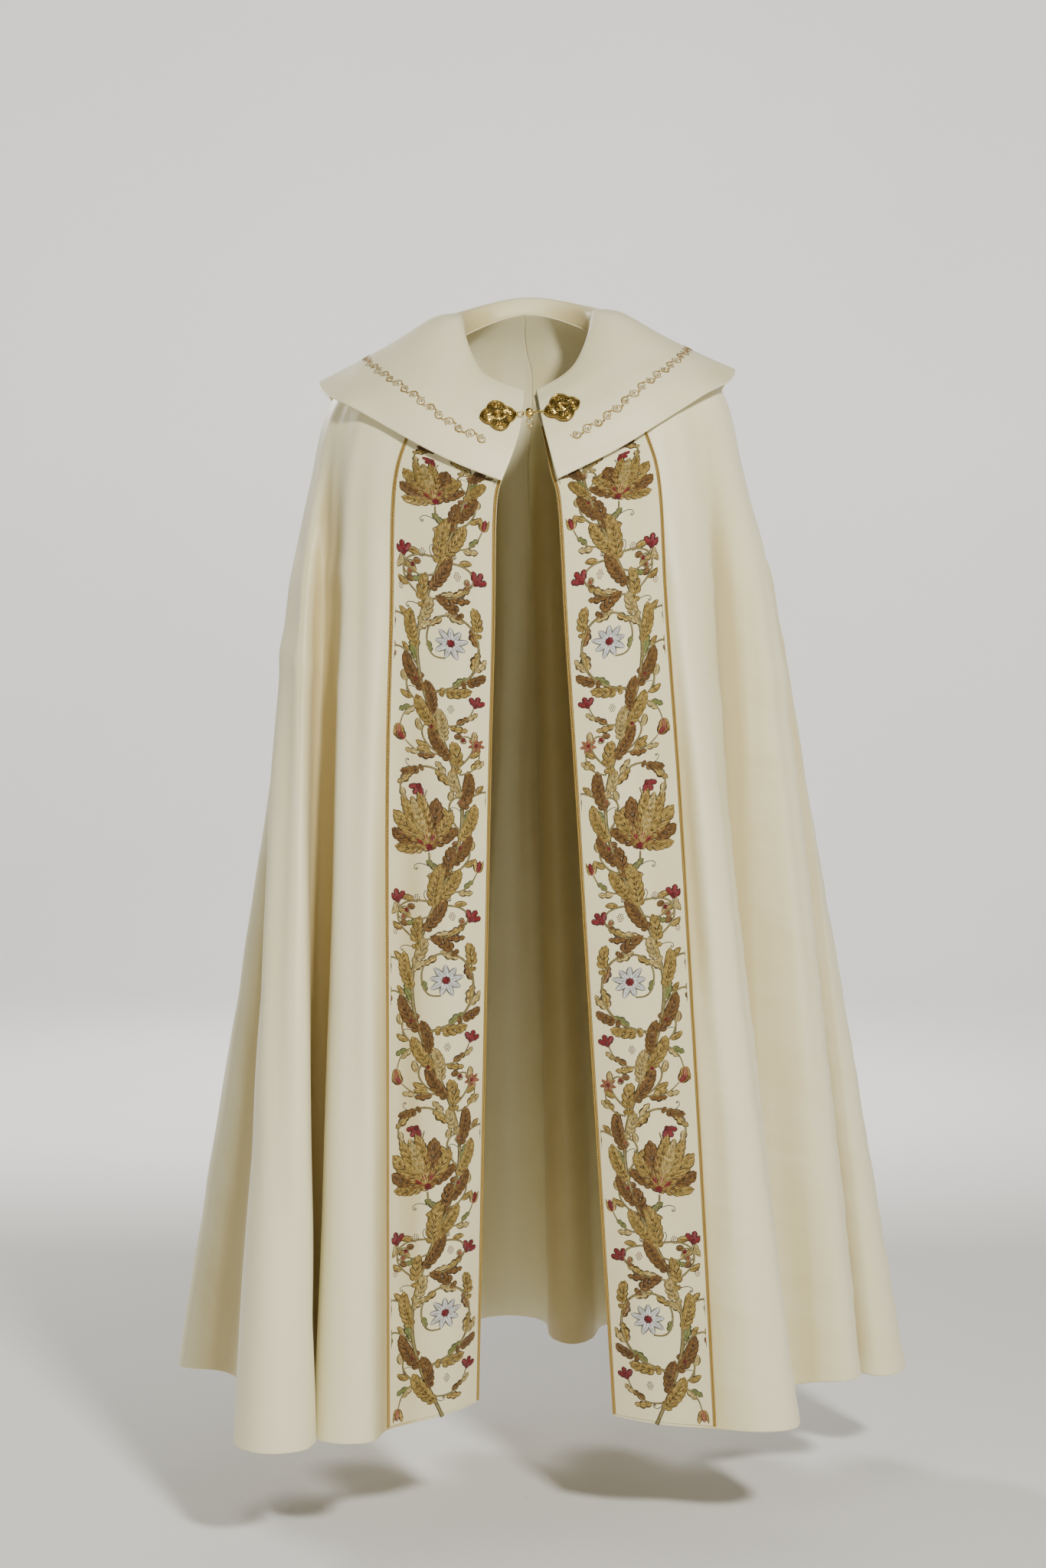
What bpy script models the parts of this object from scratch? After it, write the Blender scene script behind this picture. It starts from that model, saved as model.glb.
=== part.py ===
"""A worn cope: a wide open cloak with two embroidered front bands, a cape collar and a metal clasp.

Metres, +Z up. The origin is between the wearer's shoulders, at the height of the neck seam's
sides. -Y is the front, and left and right are as seen from the front, so left is -X.
A bearing is a direction seen from above, in degrees: 0 is the front and 90 is the left side,
180 is the back, 270 the right side.
"""

import math

import bmesh
import bpy
import numpy as np

GARMENT = "cope"
HELPERS = "joined_in"

# Driving sizes
CLOTH = 0.0020          # wall of the cloak's cloth with its lining
COLLAR_CLOTH = 0.0026   # two layers and an interlining
BAND_CLOTH = 0.0012     # embroidered band
SEAM_GAP = 0.0003
HEM_Z = -1.360
HEM_DOWN = 1.490        # cloth from the neck seam to the hem, over the shoulder
BAND_WIDTH = 0.132      # with the piping on both its edges
PIPING = 0.0045         # strip that a piping takes
PIPING_RADIUS = 0.0019
PIPING_CLEAR = 0.00066  # a piping's cord off the cloth, so that its flats clear a fold's round too
BAND_COLUMNS = 5        # columns of a band between its pipings
HEM_SHORTER = 0.012     # bands and pipings stop short of the hem by this share of the last row
OVAL_POWER = 2.4        # roundness of the shoulder rings, where 2 is an ellipse

# The yoke, ring by ring: how far down the cloth, how far the ring reaches, and its heights.
YOKE_COLUMNS = ("down", "side", "front", "back", "side_z", "front_z", "back_z")
YOKE = [
    (0.000, 0.078, 0.100, 0.068, 0.000, -0.085, 0.030),     # neck seam
    (0.042, 0.118, 0.125, 0.090, -0.004, -0.111, 0.010),    # foot of the neck
    (0.105, 0.177, 0.147, 0.115, -0.023, -0.140, -0.020),   # top of the shoulder
    (0.150, 0.217, 0.158, 0.132, -0.044, -0.165, -0.055),   # end of the shoulder
    (0.195, 0.245, 0.164, 0.143, -0.080, -0.187, -0.100),   # turn over the upper arm
    (0.280, 0.267, 0.170, 0.152, -0.160, -0.215, -0.160),   # last ring, from which it falls
]

# Where the cloth falls straight: share of the way from the last ring to the hem.
FALL = (0.10, 0.24, 0.50, 0.75, 1.0)
BULGE = (0.70, 1.0, 0.70, 0.35, 0.0)    # how much of a fold's bulge shows there
DIP_BULGE = 0.5                         # share of it that the dips beside it take
SHOULDER_TILT = 0.030                   # the right shoulder is higher, by this much a metre of X

# Plain lines of the two fronts: bearing on the neck seam and on the last ring, place at the hem, and
# how far the hem rises there.
FRONT_COLUMNS = ("neck_deg", "ring_deg", "x", "y", "rise")
LEFT_FRONT = [
    (5, 12, -0.061, -0.132, 0.020),    # front edge
    (28, 28, -0.113, -0.170, 0.010),   # middle of the band
    (46, 46, -0.173, -0.192, 0.000),   # outer edge of the band
]
RIGHT_FRONT = [
    (314, 314, 0.239, -0.187, 0.000),
    (332, 332, 0.174, -0.184, 0.004),
    (355, 348, 0.107, -0.162, 0.010),
]

# The folds, from the left front round the back to the right front. Each has a round crest and, after it,
# a round dip: centre and radius at the hem, the bearing that the crest faces, and the bearings on
# the last ring from which the crest and the dip fall. rise lifts the hem, and bulge pushes the
# crest out at the elbow.
FOLD_COLUMNS = (
    "x", "y", "roll", "facing", "ring_deg", "dip_x", "dip_y", "dip_roll", "dip_ring_deg", "rise", "bulge",
)
FOLDS = [
    (-0.2180, -0.209, 0.045, 28, 58, -0.262, -0.108, 0.014, 70, 0.000, 0.000),    # left front panel
    (-0.3060, -0.245, 0.051, 12, 80, -0.333, -0.030, 0.018, 90, 0.000, 0.018),    # deep left fold
    (-0.4040, 0.088, 0.057, 55, 100, -0.372, 0.168, 0.016, 111, 0.015, 0.004),    # left side
    (-0.3370, 0.262, 0.050, 140, 122, -0.248, 0.205, 0.016, 134, 0.010, 0.000),
    (-0.1820, 0.306, 0.046, 168, 147, -0.104, 0.222, 0.017, 160, 0.006, 0.000),
    (-0.0250, 0.322, 0.053, 180, 175, 0.062, 0.232, 0.016, 189, 0.008, 0.000),    # middle of the back
    (0.1500, 0.304, 0.047, 192, 203, 0.228, 0.208, 0.018, 216, 0.006, 0.000),
    (0.3180, 0.272, 0.052, 218, 229, 0.384, 0.188, 0.016, 243, 0.008, 0.000),
    (0.4580, 0.160, 0.052, 285, 256, 0.392, 0.122, 0.014, 268, -0.010, 0.028),    # right side
    (0.3930, 0.050, 0.045, 315, 282, 0.308, -0.034, 0.018, 296, 0.008, 0.020),
    (0.2930, -0.153, 0.049, 310, 308, None, None, None, None, 0.000, 0.000),      # right front panel
]
CREST_SPREAD = 66       # degrees from a crest's middle to where its round ends, at the hem
DIP_SPREAD = 62
RING_CREST_SPREAD = 4   # the same on the last ring
RING_DIP_SPREAD = 2.2
RING_SWELL = 0.0030     # how far the folds already stand out or in on the last ring

# The cloak's panels, from the left front round the back to the right front. The seams between them run
# down the flank between a crest and the dip behind it, after these folds.
PANELS = ("front_left", "side_left", "back_left", "back_right", "side_right", "front_right")
SEAM_FOLDS = (1, 3, 5, 7, 8)
LINES_PER_FOLD = 6      # three on its crest and three in its dip

# Half of the step over which a normal is taken: in places round a ring, and in metres down the cloth
PLACE_NUDGE = 0.03
DOWN_NUDGE = 0.004

# Rows of the solids, down the cloth
ROWS = (
    0, 0.021, 0.042, 0.073, 0.105, 0.128, 0.150, 0.172, 0.195, 0.235,
    0.280, 0.345, 0.46, 0.60, 0.75, 0.93, 1.11, 1.30, HEM_DOWN,
)
BAND_TOP_ROW = 3        # the bands start here, under the collar

# The collar: rings from the neck seam outwards
COLLAR_COLUMNS = ("out", "side", "front", "back", "side_z", "front_z", "back_z")
COLLAR = [
    (0.000, 0.0785, 0.1010, 0.0690, 0.0012, -0.0842, 0.0308),   # on the neck seam
    (0.018, 0.0830, 0.1065, 0.0755, 0.0230, -0.0790, 0.0490),   # stand
    (0.032, 0.0940, 0.1150, 0.0860, 0.0265, -0.0845, 0.0510),   # where it rolls over
    (0.105, 0.1620, 0.1420, 0.1180, -0.0030, -0.1150, 0.0080),  # on the shoulder
]
# Its outer edge: bearing, reach and height on the left, repeated on the right.
COLLAR_EDGE_OUT = 0.215
COLLAR_EDGE_COLUMNS = ("deg", "reach", "z")
COLLAR_EDGE = [
    (10.5, 0.1800, -0.191),    # tip of the front
    (28, 0.1910, -0.167),
    (46, 0.2150, -0.131),
    (62, 0.2480, -0.091),
    (76, 0.2620, -0.071),
    (90, 0.2635, -0.054),      # over the shoulder
    (104, 0.2590, -0.077),
    (120, 0.2450, -0.148),
    (138, 0.2220, -0.228),
    (158, 0.2050, -0.286),
    (180, 0.1980, -0.312),     # middle of the back
]
COLLAR_NECK_DEG = 4        # bearing of its front edge at the neck
COLLAR_CLEAR = 0.0034      # air between the collar and the cloth below it
OVER_BAND = 0.0058         # more of it where a band and its piping lie below
OVER_BAND_DEG = 54         # as far as this bearing on each side
OVER_BAND_FADE = 3         # degrees over which that ends
COLLAR_FREE_OUT = 0.045    # the collar is clear of the stand from here outwards
COLLAR_REACH_DOWN = 0.46   # how far down the cloak anything of the collar can come near it
LIFT_SOFTNESS = 0.0012     # how gently the collar starts to be lifted
LIFT_PASSES = 3
COLLAR_ROWS = (
    0, 0.009, 0.018, 0.026, 0.034, 0.055, 0.080, 0.105,
    0.119, 0.133, 0.147, 0.161, 0.175, 0.188, 0.202, COLLAR_EDGE_OUT,
)
COLLAR_STEPS = 2           # columns between two rows of the edge table

# The collar's front edges turn towards the middle, by degrees
EDGE_TURN_COLUMNS = ("out", "left", "right")
EDGE_TURN = [
    (0.000, 2.9, -1.7),
    (0.080, 4.3, -0.2),
    (0.110, 4.8, 0.2),
    (0.150, 4.4, 0.0),
    (COLLAR_EDGE_OUT, 0.6, -1.3),
]
EDGE_TURN_SPREAD = 24      # degrees from the edge to where the turn has died away

# The clasp
LEFT_ROSETTE = (17.6, 0.1200, 4)       # bearing and distance out on the collar, and turn in its plane
RIGHT_ROSETTE = (341.4, 0.1100, 10)
ROSETTE_RADIUS = 0.0225
ROSETTE_LOBE = 0.0124                  # radius of one of its four lobes
ROSETTE_GAP = 0.0012
ROSETTE_SIDES = 32
PROFILE_COLUMNS = ("reach", "round", "height")
ROSETTE_PROFILE = [
    (1.00, 0.0, 0.0000),
    (1.00, 0.0, 0.0013),
    (0.93, 0.0, 0.0021),
    (0.85, 0.0, 0.0014),
    (0.42, 0.8, 0.0016),
    (0.35, 1.0, 0.0030),
    (0.27, 1.0, 0.0031),
    (0.22, 1.0, 0.0021),
    (0.12, 1.0, 0.0042),
]
BOSS_TOP = 0.0046
LUG_RADIUS = 0.0015                    # small loops, to the middle of their wire
LUG_WIRE = 0.0005
LUG_OUT = 0.0008                       # from a rosette's edge to the middle of its lug
RING_RADIUS = 0.0041
RING_WIRE = 0.00055
HOOK_RADIUS = 0.0016
HOOK_WIRE = 0.00055
HOOK_REACH = 0.0070                    # from the hook's round to the middle of the knob
SHANK_DEPTH = 0.9                      # the shank enters the knob off its middle, in hook radii
HOOK_OPEN_DEG = 230                    # how far the hook's wire goes round
KNOB_HALF = (0.0050, 0.0060, 0.0028)   # along the chain, up the collar, off it
LINKS = 3
LINK_WIRE = 0.00045
LINK_HALF_WIDTH = 0.00135
LINK_PLAY = 0.0003
DROP_RADIUS = 0.00395                  # ring of the hanging drop, to the middle of its wire
SMALL_DROP_RADIUS = 0.0027
DROP_STEP = 0.0071                     # from the drop's ring down to its small ring


def smooth_through(knots, points, places):
    """Natural cubic spline through points, one for each knot, read at places."""
    knots = np.asarray(knots, float)
    points = np.asarray(points, float)
    places = np.asarray(places, float)
    step = np.diff(knots)
    matrix = np.eye(len(knots))
    target = np.zeros_like(points)
    for i in range(1, len(knots) - 1):
        matrix[i, i - 1:i + 2] = step[i - 1], 2 * (step[i - 1] + step[i]), step[i]
        target[i] = 6 * ((points[i + 1] - points[i]) / step[i] - (points[i] - points[i - 1]) / step[i - 1])
    bend = np.linalg.solve(matrix, target)
    k = np.clip(np.searchsorted(knots, places, side="right") - 1, 0, len(knots) - 2)
    after = ((places - knots[k]) / step[k])[:, None]
    before = 1 - after
    curl = (before ** 3 - before) * bend[k] + (after ** 3 - after) * bend[k + 1]
    return before * points[k] + after * points[k + 1] + curl * (step[k] ** 2)[:, None] / 6


def compass(degrees):
    """Unit direction in plan for a bearing."""
    turn = math.radians(degrees)
    return np.array([-math.sin(turn), -math.cos(turn), 0.0])


def named(columns, rows):
    return [dict(zip(columns, row)) for row in rows]


def ring_point(ring, degrees, swell=0.0):
    """Point of an oval, saddle-shaped ring at a bearing."""
    turn = math.radians(degrees)
    across, along = abs(math.sin(turn)), math.cos(turn)
    end, end_z = (ring["front"], ring["front_z"]) if along > 0 else (ring["back"], ring["back_z"])
    reach = ((across / ring["side"]) ** OVAL_POWER + (abs(along) / end) ** OVAL_POWER) ** (-1 / OVAL_POWER)
    point = (reach + swell) * compass(degrees)
    point[2] = ring["side_z"] * across ** 2 + end_z * along ** 2
    return point


def hem_lines():
    """The lines along which the cloth falls, from the left front round the back to the right front.

    Each has its hem point, its bearings on the neck seam and on the last ring, its swell and its bulge.
    """
    def front(row):
        return dict(
            hem=np.array([row["x"], row["y"], HEM_Z + row["rise"]]),
            neck_deg=row["neck_deg"], ring_deg=row["ring_deg"], swell=0.0, bulge=0.0,
        )

    folds = named(FOLD_COLUMNS, FOLDS)
    lines = [front(row) for row in named(FRONT_COLUMNS, LEFT_FRONT)]
    for number, fold in enumerate(folds):
        centre = np.array([fold["x"], fold["y"], HEM_Z + fold["rise"]])
        for side in (-1, 0, 1):
            ring_deg = fold["ring_deg"] + side * RING_CREST_SPREAD
            lines.append(dict(
                hem=centre + fold["roll"] * compass(fold["facing"] + side * CREST_SPREAD),
                neck_deg=ring_deg, ring_deg=ring_deg, swell=RING_SWELL, bulge=fold["bulge"],
            ))
        if fold["dip_x"] is None:
            continue
        after = folds[number + 1]
        low = np.array([fold["dip_x"], fold["dip_y"], HEM_Z + (fold["rise"] + after["rise"]) / 2])
        inward = low[:2] - np.array([fold["x"] + after["x"], fold["y"] + after["y"]]) / 2
        inward_deg = math.degrees(math.atan2(-inward[0], -inward[1]))
        for side in (-1, 0, 1):
            ring_deg = fold["dip_ring_deg"] + side * RING_DIP_SPREAD
            lines.append(dict(
                hem=low + fold["dip_roll"] * compass(inward_deg - side * DIP_SPREAD),
                neck_deg=ring_deg, ring_deg=ring_deg, swell=-RING_SWELL,
                bulge=DIP_BULGE * (fold["bulge"] + after["bulge"]) / 2,
            ))
    return lines + [front(row) for row in named(FRONT_COLUMNS, RIGHT_FRONT)]


class Cloak:
    """The cloak's outer face, read at any place round and down it."""

    def __init__(self):
        yoke = named(YOKE_COLUMNS, YOKE)
        lines = hem_lines()
        ring_down, hem_down = yoke[-1]["down"], HEM_DOWN
        self.down_knots = [ring["down"] for ring in yoke]
        self.down_knots += [ring_down + (hem_down - ring_down) * share for share in FALL]
        self.net = np.zeros((len(lines), len(self.down_knots), 3))
        for i, line in enumerate(lines):
            for k, ring in enumerate(yoke):
                share = ring["down"] / ring_down
                degrees = line["neck_deg"] + (line["ring_deg"] - line["neck_deg"]) * share
                self.net[i, k] = ring_point(ring, degrees, line["swell"] * share)
                self.net[i, k, 2] += SHOULDER_TILT * self.net[i, k, 0]
            top = self.net[i, len(yoke) - 1]
            for k, share in enumerate(FALL):
                push = line["bulge"] * BULGE[k] * compass(line["ring_deg"])
                self.net[i, len(yoke) + k] = top + (line["hem"] - top) * share + push
        self.last = len(lines) - 1

    def ring(self, down, places):
        """Points of one ring. A place is the number of a line, or lies between two lines' numbers."""
        row = np.array([smooth_through(self.down_knots, line, [down])[0] for line in self.net])
        chords = np.linalg.norm(np.diff(row, axis=0), axis=1)
        knots = np.concatenate([[0], np.cumsum(chords)])
        return smooth_through(knots, row, np.interp(places, np.arange(len(knots)), knots))

    def band_places(self, down, distances):
        """Places round one ring at these distances along the cloth from the left and the right front edge."""
        fine = np.linspace(0, self.last, 1500)
        run = np.concatenate([[0], np.cumsum(np.linalg.norm(np.diff(self.ring(down, fine), axis=0), axis=1))])
        return np.interp(distances, run, fine), np.interp(run[-1] - np.asarray(distances), run, fine)

    def places(self, down, distances, middle):
        """Places of every column of one ring: left band, folds, right band."""
        left, right = self.band_places(down, distances)
        low, high = len(LEFT_FRONT) - 1, self.last + 1 - len(RIGHT_FRONT)
        moved = left[-1] + (np.asarray(middle) - low) * (right[-1] - left[-1]) / (high - low)
        return np.concatenate([left, moved, right[::-1]])


def unit(vectors):
    return vectors / np.linalg.norm(vectors, axis=-1, keepdims=True)


def face_normals(cloak, down, places):
    """Outward normals of the cloak at these places of a ring."""
    along = cloak.ring(down, places + PLACE_NUDGE) - cloak.ring(down, places - PLACE_NUDGE)
    low, high = max(down - DOWN_NUDGE, 0), min(down + DOWN_NUDGE, HEM_DOWN)
    fall = cloak.ring(high, places) - cloak.ring(low, places)
    return unit(np.cross(along, fall))


def cloak_grid(cloak):
    """Points and outward normals of the cloak, row by row from the neck seam.

    Also returns how many columns a band and its pipings take, and the columns of the seams.
    A fold's round parts get two columns a line, and the rest of it one.
    """
    inner = np.linspace(PIPING, BAND_WIDTH - PIPING, BAND_COLUMNS)
    distances = np.concatenate([[0], inner, [BAND_WIDTH]])
    first, last = len(LEFT_FRONT) - 1, cloak.last + 1 - len(RIGHT_FRONT)
    middle, seam_columns = [], []
    for k in range(first, last):
        samples = 1 if (k - first) % LINES_PER_FOLD in (4, 5) else 2
        if k > first:
            middle.append(k)
        middle += list(np.linspace(k, k + 1, samples + 1)[1:-1])
        if k in [first + LINES_PER_FOLD * fold + 3 for fold in SEAM_FOLDS]:
            seam_columns.append(len(distances) + len(middle) - 1)
    points, normals = [], []
    for down in ROWS:
        places = cloak.places(down, distances, middle)
        points.append(cloak.ring(down, places))
        normals.append(face_normals(cloak, down, places))
    return np.array(points), np.array(normals), len(distances), seam_columns


def make_material(name, colour, roughness, metallic=0.0):
    material = bpy.data.materials.new(name)
    material.use_nodes = True
    shader = material.node_tree.nodes["Principled BSDF"]
    shader.inputs["Base Color"].default_value = (*colour, 1)
    shader.inputs["Roughness"].default_value = roughness
    shader.inputs["Metallic"].default_value = metallic
    return material


def add_object(name, mesh, material):
    piece = bpy.data.objects.new(name, mesh)
    if not mesh.materials:
        mesh.materials.append(material)
    bpy.data.collections[GARMENT].objects.link(piece)
    return piece


def add_wall(name, outer, inner, material):
    """A closed wall of cloth between two grids of points.

    Rows run from the top, and columns from left to right round the back. Both faces follow the
    cloak's own normals, so that panels cut from one grid end flush at their seam and keep its gap,
    which a thickness put on each panel alone would not do.
    """
    rows, columns = outer.shape[:2]
    points = np.concatenate([outer.reshape(-1, 3), inner.reshape(-1, 3)])
    shift = rows * columns
    faces = []
    for r in range(rows - 1):
        for c in range(columns - 1):
            a = r * columns + c
            corners = (a, a + columns, a + columns + 1, a + 1)
            for triangle in ((0, 1, 2), (0, 2, 3)):
                face = [corners[i] for i in triangle]
                faces.append(face)
                faces.append([i + shift for i in reversed(face)])
    rim = list(range(columns))
    rim += [r * columns + columns - 1 for r in range(1, rows)]
    rim += [(rows - 1) * columns + c for c in range(columns - 2, -1, -1)]
    rim += [r * columns for r in range(rows - 2, 0, -1)]
    for here, there in zip(rim, rim[1:] + rim[:1]):
        faces.append([here, there, there + shift])
        faces.append([here, there + shift, here + shift])
    mesh = bpy.data.meshes.new(name)
    mesh.from_pydata([tuple(p) for p in points], [], faces)
    shape = bmesh.new()
    shape.from_mesh(mesh)
    bmesh.ops.recalc_face_normals(shape, faces=shape.faces)
    shape.to_mesh(mesh)
    shape.free()
    mesh.shade_smooth()
    return add_object(name, mesh, material)


def add_panels(points, normals, seams, cloth):
    """The cloak's panels, a seam's gap apart."""
    edges = [0, *seams, points.shape[1] - 1]
    for name, first, last in zip(PANELS, edges, edges[1:]):
        outer = points[:, first:last + 1].copy()
        if first:
            outer[:, 0] += unit(points[:, first + 1] - points[:, first]) * SEAM_GAP / 2
        if last < points.shape[1] - 1:
            outer[:, -1] -= unit(points[:, last + 1] - points[:, last]) * SEAM_GAP / 2
        add_wall(name, outer, outer - CLOTH * normals[:, first:last + 1], cloth)


def add_bands(points, normals, band_columns, ground):
    """The two bands, made from the panels' own points, moved out."""
    for name, first in (("band_left", 1), ("band_right", points.shape[1] - band_columns + 1)):
        span = slice(first, first + band_columns - 2)
        base = points[BAND_TOP_ROW:, span].copy()
        out = normals[BAND_TOP_ROW:, span]
        base[-1] += (base[-2] - base[-1]) * HEM_SHORTER
        add_wall(name, base + (SEAM_GAP + BAND_CLOTH) * out, base + SEAM_GAP * out, ground)


def add_piping(name, points, normals, columns, gold):
    """A gold cord down the middle of a strip of the cloak, between two of its columns."""
    line = (points[BAND_TOP_ROW:, columns[0]] + points[BAND_TOP_ROW:, columns[1]]) / 2
    out = unit(normals[BAND_TOP_ROW:, columns[0]] + normals[BAND_TOP_ROW:, columns[1]])
    centre = line + (PIPING_RADIUS + PIPING_CLEAR) * out
    centre[-1] += (centre[-2] - centre[-1]) * HEM_SHORTER
    return add_wire(name, centre, PIPING_RADIUS, False, gold, roundness=1)


class Collar:
    """The collar's outer face, read at any bearing and distance out."""

    def __init__(self, cloak):
        rings = named(COLLAR_COLUMNS, COLLAR)
        edge = named(COLLAR_EDGE_COLUMNS, COLLAR_EDGE)
        left = [np.array(self.spoke(rings, row)) for row in edge]
        right = [spoke * np.array([-1, 1, 1]) for spoke in left[-2::-1]]
        self.net = np.array(left + right)
        self.net[..., 2] += SHOULDER_TILT * self.net[..., 0]
        self.outs = [ring["out"] for ring in rings] + [COLLAR_EDGE_OUT]
        self.degrees = [row["deg"] for row in edge]
        self.degrees += [360 - degree for degree in self.degrees[-2::-1]]
        columns = []
        for here, there in zip(self.degrees, self.degrees[1:]):
            columns += list(np.linspace(here, there, COLLAR_STEPS + 1)[:-1])
        columns = np.array(columns + [self.degrees[-1]])
        # The net so far is the collar by itself. The one that replaces it also clears the cloak below.
        grid = np.array([self.at(out, columns) for out in COLLAR_ROWS])
        grid = edges_turned(grid, columns)
        free = [i for i, out in enumerate(COLLAR_ROWS) if out > COLLAR_FREE_OUT][0]
        grid[free:] = lifted(grid[free:].copy(), columns, cloak)
        self.net = grid.transpose(1, 0, 2)
        self.outs, self.degrees = list(COLLAR_ROWS), columns

    @staticmethod
    def spoke(rings, row):
        """Points from the neck seam to the outer edge, for one row of the edge table."""
        front = COLLAR_EDGE[0][0]
        points = []
        for ring in rings:
            share = ring["out"] / COLLAR_EDGE_OUT
            neck = COLLAR_NECK_DEG if row["deg"] == front else row["deg"]
            points.append(ring_point(ring, neck + (row["deg"] - neck) * share))
        end = row["reach"] * compass(row["deg"])
        end[2] = row["z"]
        return points + [end]

    def at(self, out, degrees):
        spokes = np.array([smooth_through(self.outs, spoke, [out])[0] for spoke in self.net])
        return smooth_through(self.degrees, spokes, degrees)

    def normal(self, out, degrees):
        degrees = np.asarray(degrees, float)
        along = self.at(out, degrees + 0.4) - self.at(out, degrees - 0.4)
        low, high = max(out - 0.002, 0), min(out + 0.002, COLLAR_EDGE_OUT)
        return unit(np.cross(along, self.at(high, degrees) - self.at(low, degrees)))


def edges_turned(grid, degrees):
    """The collar's rows with both front edges turned about the neck."""
    table = np.array(EDGE_TURN)
    for r, out in enumerate(COLLAR_ROWS):
        _, left, right = smooth_through(table[:, 0], table, [out])[0]
        from_left = np.clip(1 - (degrees - degrees[0]) / EDGE_TURN_SPREAD, 0, 1) ** 2
        from_right = np.clip(1 - (degrees[-1] - degrees) / EDGE_TURN_SPREAD, 0, 1) ** 2
        turn = np.radians(left * from_left - right * from_right)
        x, y = grid[r, :, 0].copy(), grid[r, :, 1].copy()
        grid[r, :, 0] = x * np.cos(turn) - y * np.sin(turn)
        grid[r, :, 1] = x * np.sin(turn) + y * np.cos(turn)
    return grid


def lifted(points, degrees, cloak):
    """Points of the collar's outer face, moved off the cloak where its inner face would come too near."""
    places = np.linspace(0, cloak.last, LINES_PER_FOLD * cloak.last)
    downs = np.arange(0, COLLAR_REACH_DOWN, 2 * DOWN_NUDGE)
    base = np.concatenate([cloak.ring(down, places) for down in downs])
    out = np.concatenate([face_normals(cloak, down, places) for down in downs])
    bearing = np.minimum(degrees, 360 - degrees)
    over = 1 / (1 + np.exp((bearing - OVER_BAND_DEG) / OVER_BAND_FADE))
    wanted = COLLAR_CLOTH + COLLAR_CLEAR + OVER_BAND * over
    for _ in range(LIFT_PASSES):
        for row in points:
            nearest = np.array([np.argmin(((base - point) ** 2).sum(1)) for point in row])
            gap = ((row - base[nearest]) * out[nearest]).sum(1)
            push = LIFT_SOFTNESS * np.log1p(np.exp((wanted - gap) / LIFT_SOFTNESS))
            row += push[:, None] * out[nearest]
        wanted = wanted - LIFT_SOFTNESS / 2
    return points


def add_collar(collar, cloth):
    outer = np.array([collar.at(out, collar.degrees) for out in collar.outs])
    normals = np.array([collar.normal(out, collar.degrees) for out in collar.outs])
    return add_wall("collar", outer, outer - COLLAR_CLOTH * normals, cloth)


def circle(centre, first, second, radius, steps, start=0.0, end=360.0):
    """Points round a circle, from the first axis towards the second."""
    whole = end - start >= 360
    turns = np.radians(np.linspace(start, end, steps, endpoint=not whole))
    return centre + radius * (np.cos(turns)[:, None] * first + np.sin(turns)[:, None] * second)


def link_path(centre, along, across, half_length):
    """Points round a long link with round ends."""
    shift = (half_length - LINK_HALF_WIDTH) * along
    ends = []
    for side in (1, -1):
        ends.append(circle(centre + side * shift, side * along, side * across, LINK_HALF_WIDTH, 7, -90, 90))
    return np.concatenate(ends)


def add_wire(name, places, radius, closed, material, origin=(0, 0, 0), roundness=2):
    """A round wire or cord along a path of points."""
    curve = bpy.data.curves.new(name, "CURVE")
    curve.dimensions = "3D"
    curve.bevel_depth = radius
    curve.bevel_resolution = roundness
    curve.use_fill_caps = True
    spline = curve.splines.new("POLY")
    spline.use_cyclic_u = closed
    spline.points.add(len(places) - 1)
    for point, place in zip(spline.points, np.asarray(places) - np.asarray(origin)):
        point.co = (*place, 1)
    wire = add_object(name, curve, material)
    wire.location = origin
    return wire


def wire_mesh(wire):
    """The wire's mesh, with its caps welded on."""
    bpy.context.view_layer.update()
    mesh = bpy.data.meshes.new_from_object(wire.evaluated_get(bpy.context.evaluated_depsgraph_get()))
    shape = bmesh.new()
    shape.from_mesh(mesh)
    bmesh.ops.remove_doubles(shape, verts=shape.verts, dist=1e-6)
    shape.to_mesh(mesh)
    shape.free()
    return mesh


def join(base, helpers):
    """Unites wires with a solid. The wires stay in the helpers' collection, hidden."""
    for helper in helpers:
        solid = bpy.data.objects.new(helper.name + "_solid", wire_mesh(helper))
        solid.location = helper.location
        solid.hide_render = True
        solid.display_type = "WIRE"
        bpy.data.collections[HELPERS].objects.link(solid)
        bpy.data.objects.remove(helper)
        union = base.modifiers.new("join", "BOOLEAN")
        union.operation = "UNION"
        union.solver = "EXACT"
        union.object = solid
    return base


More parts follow.
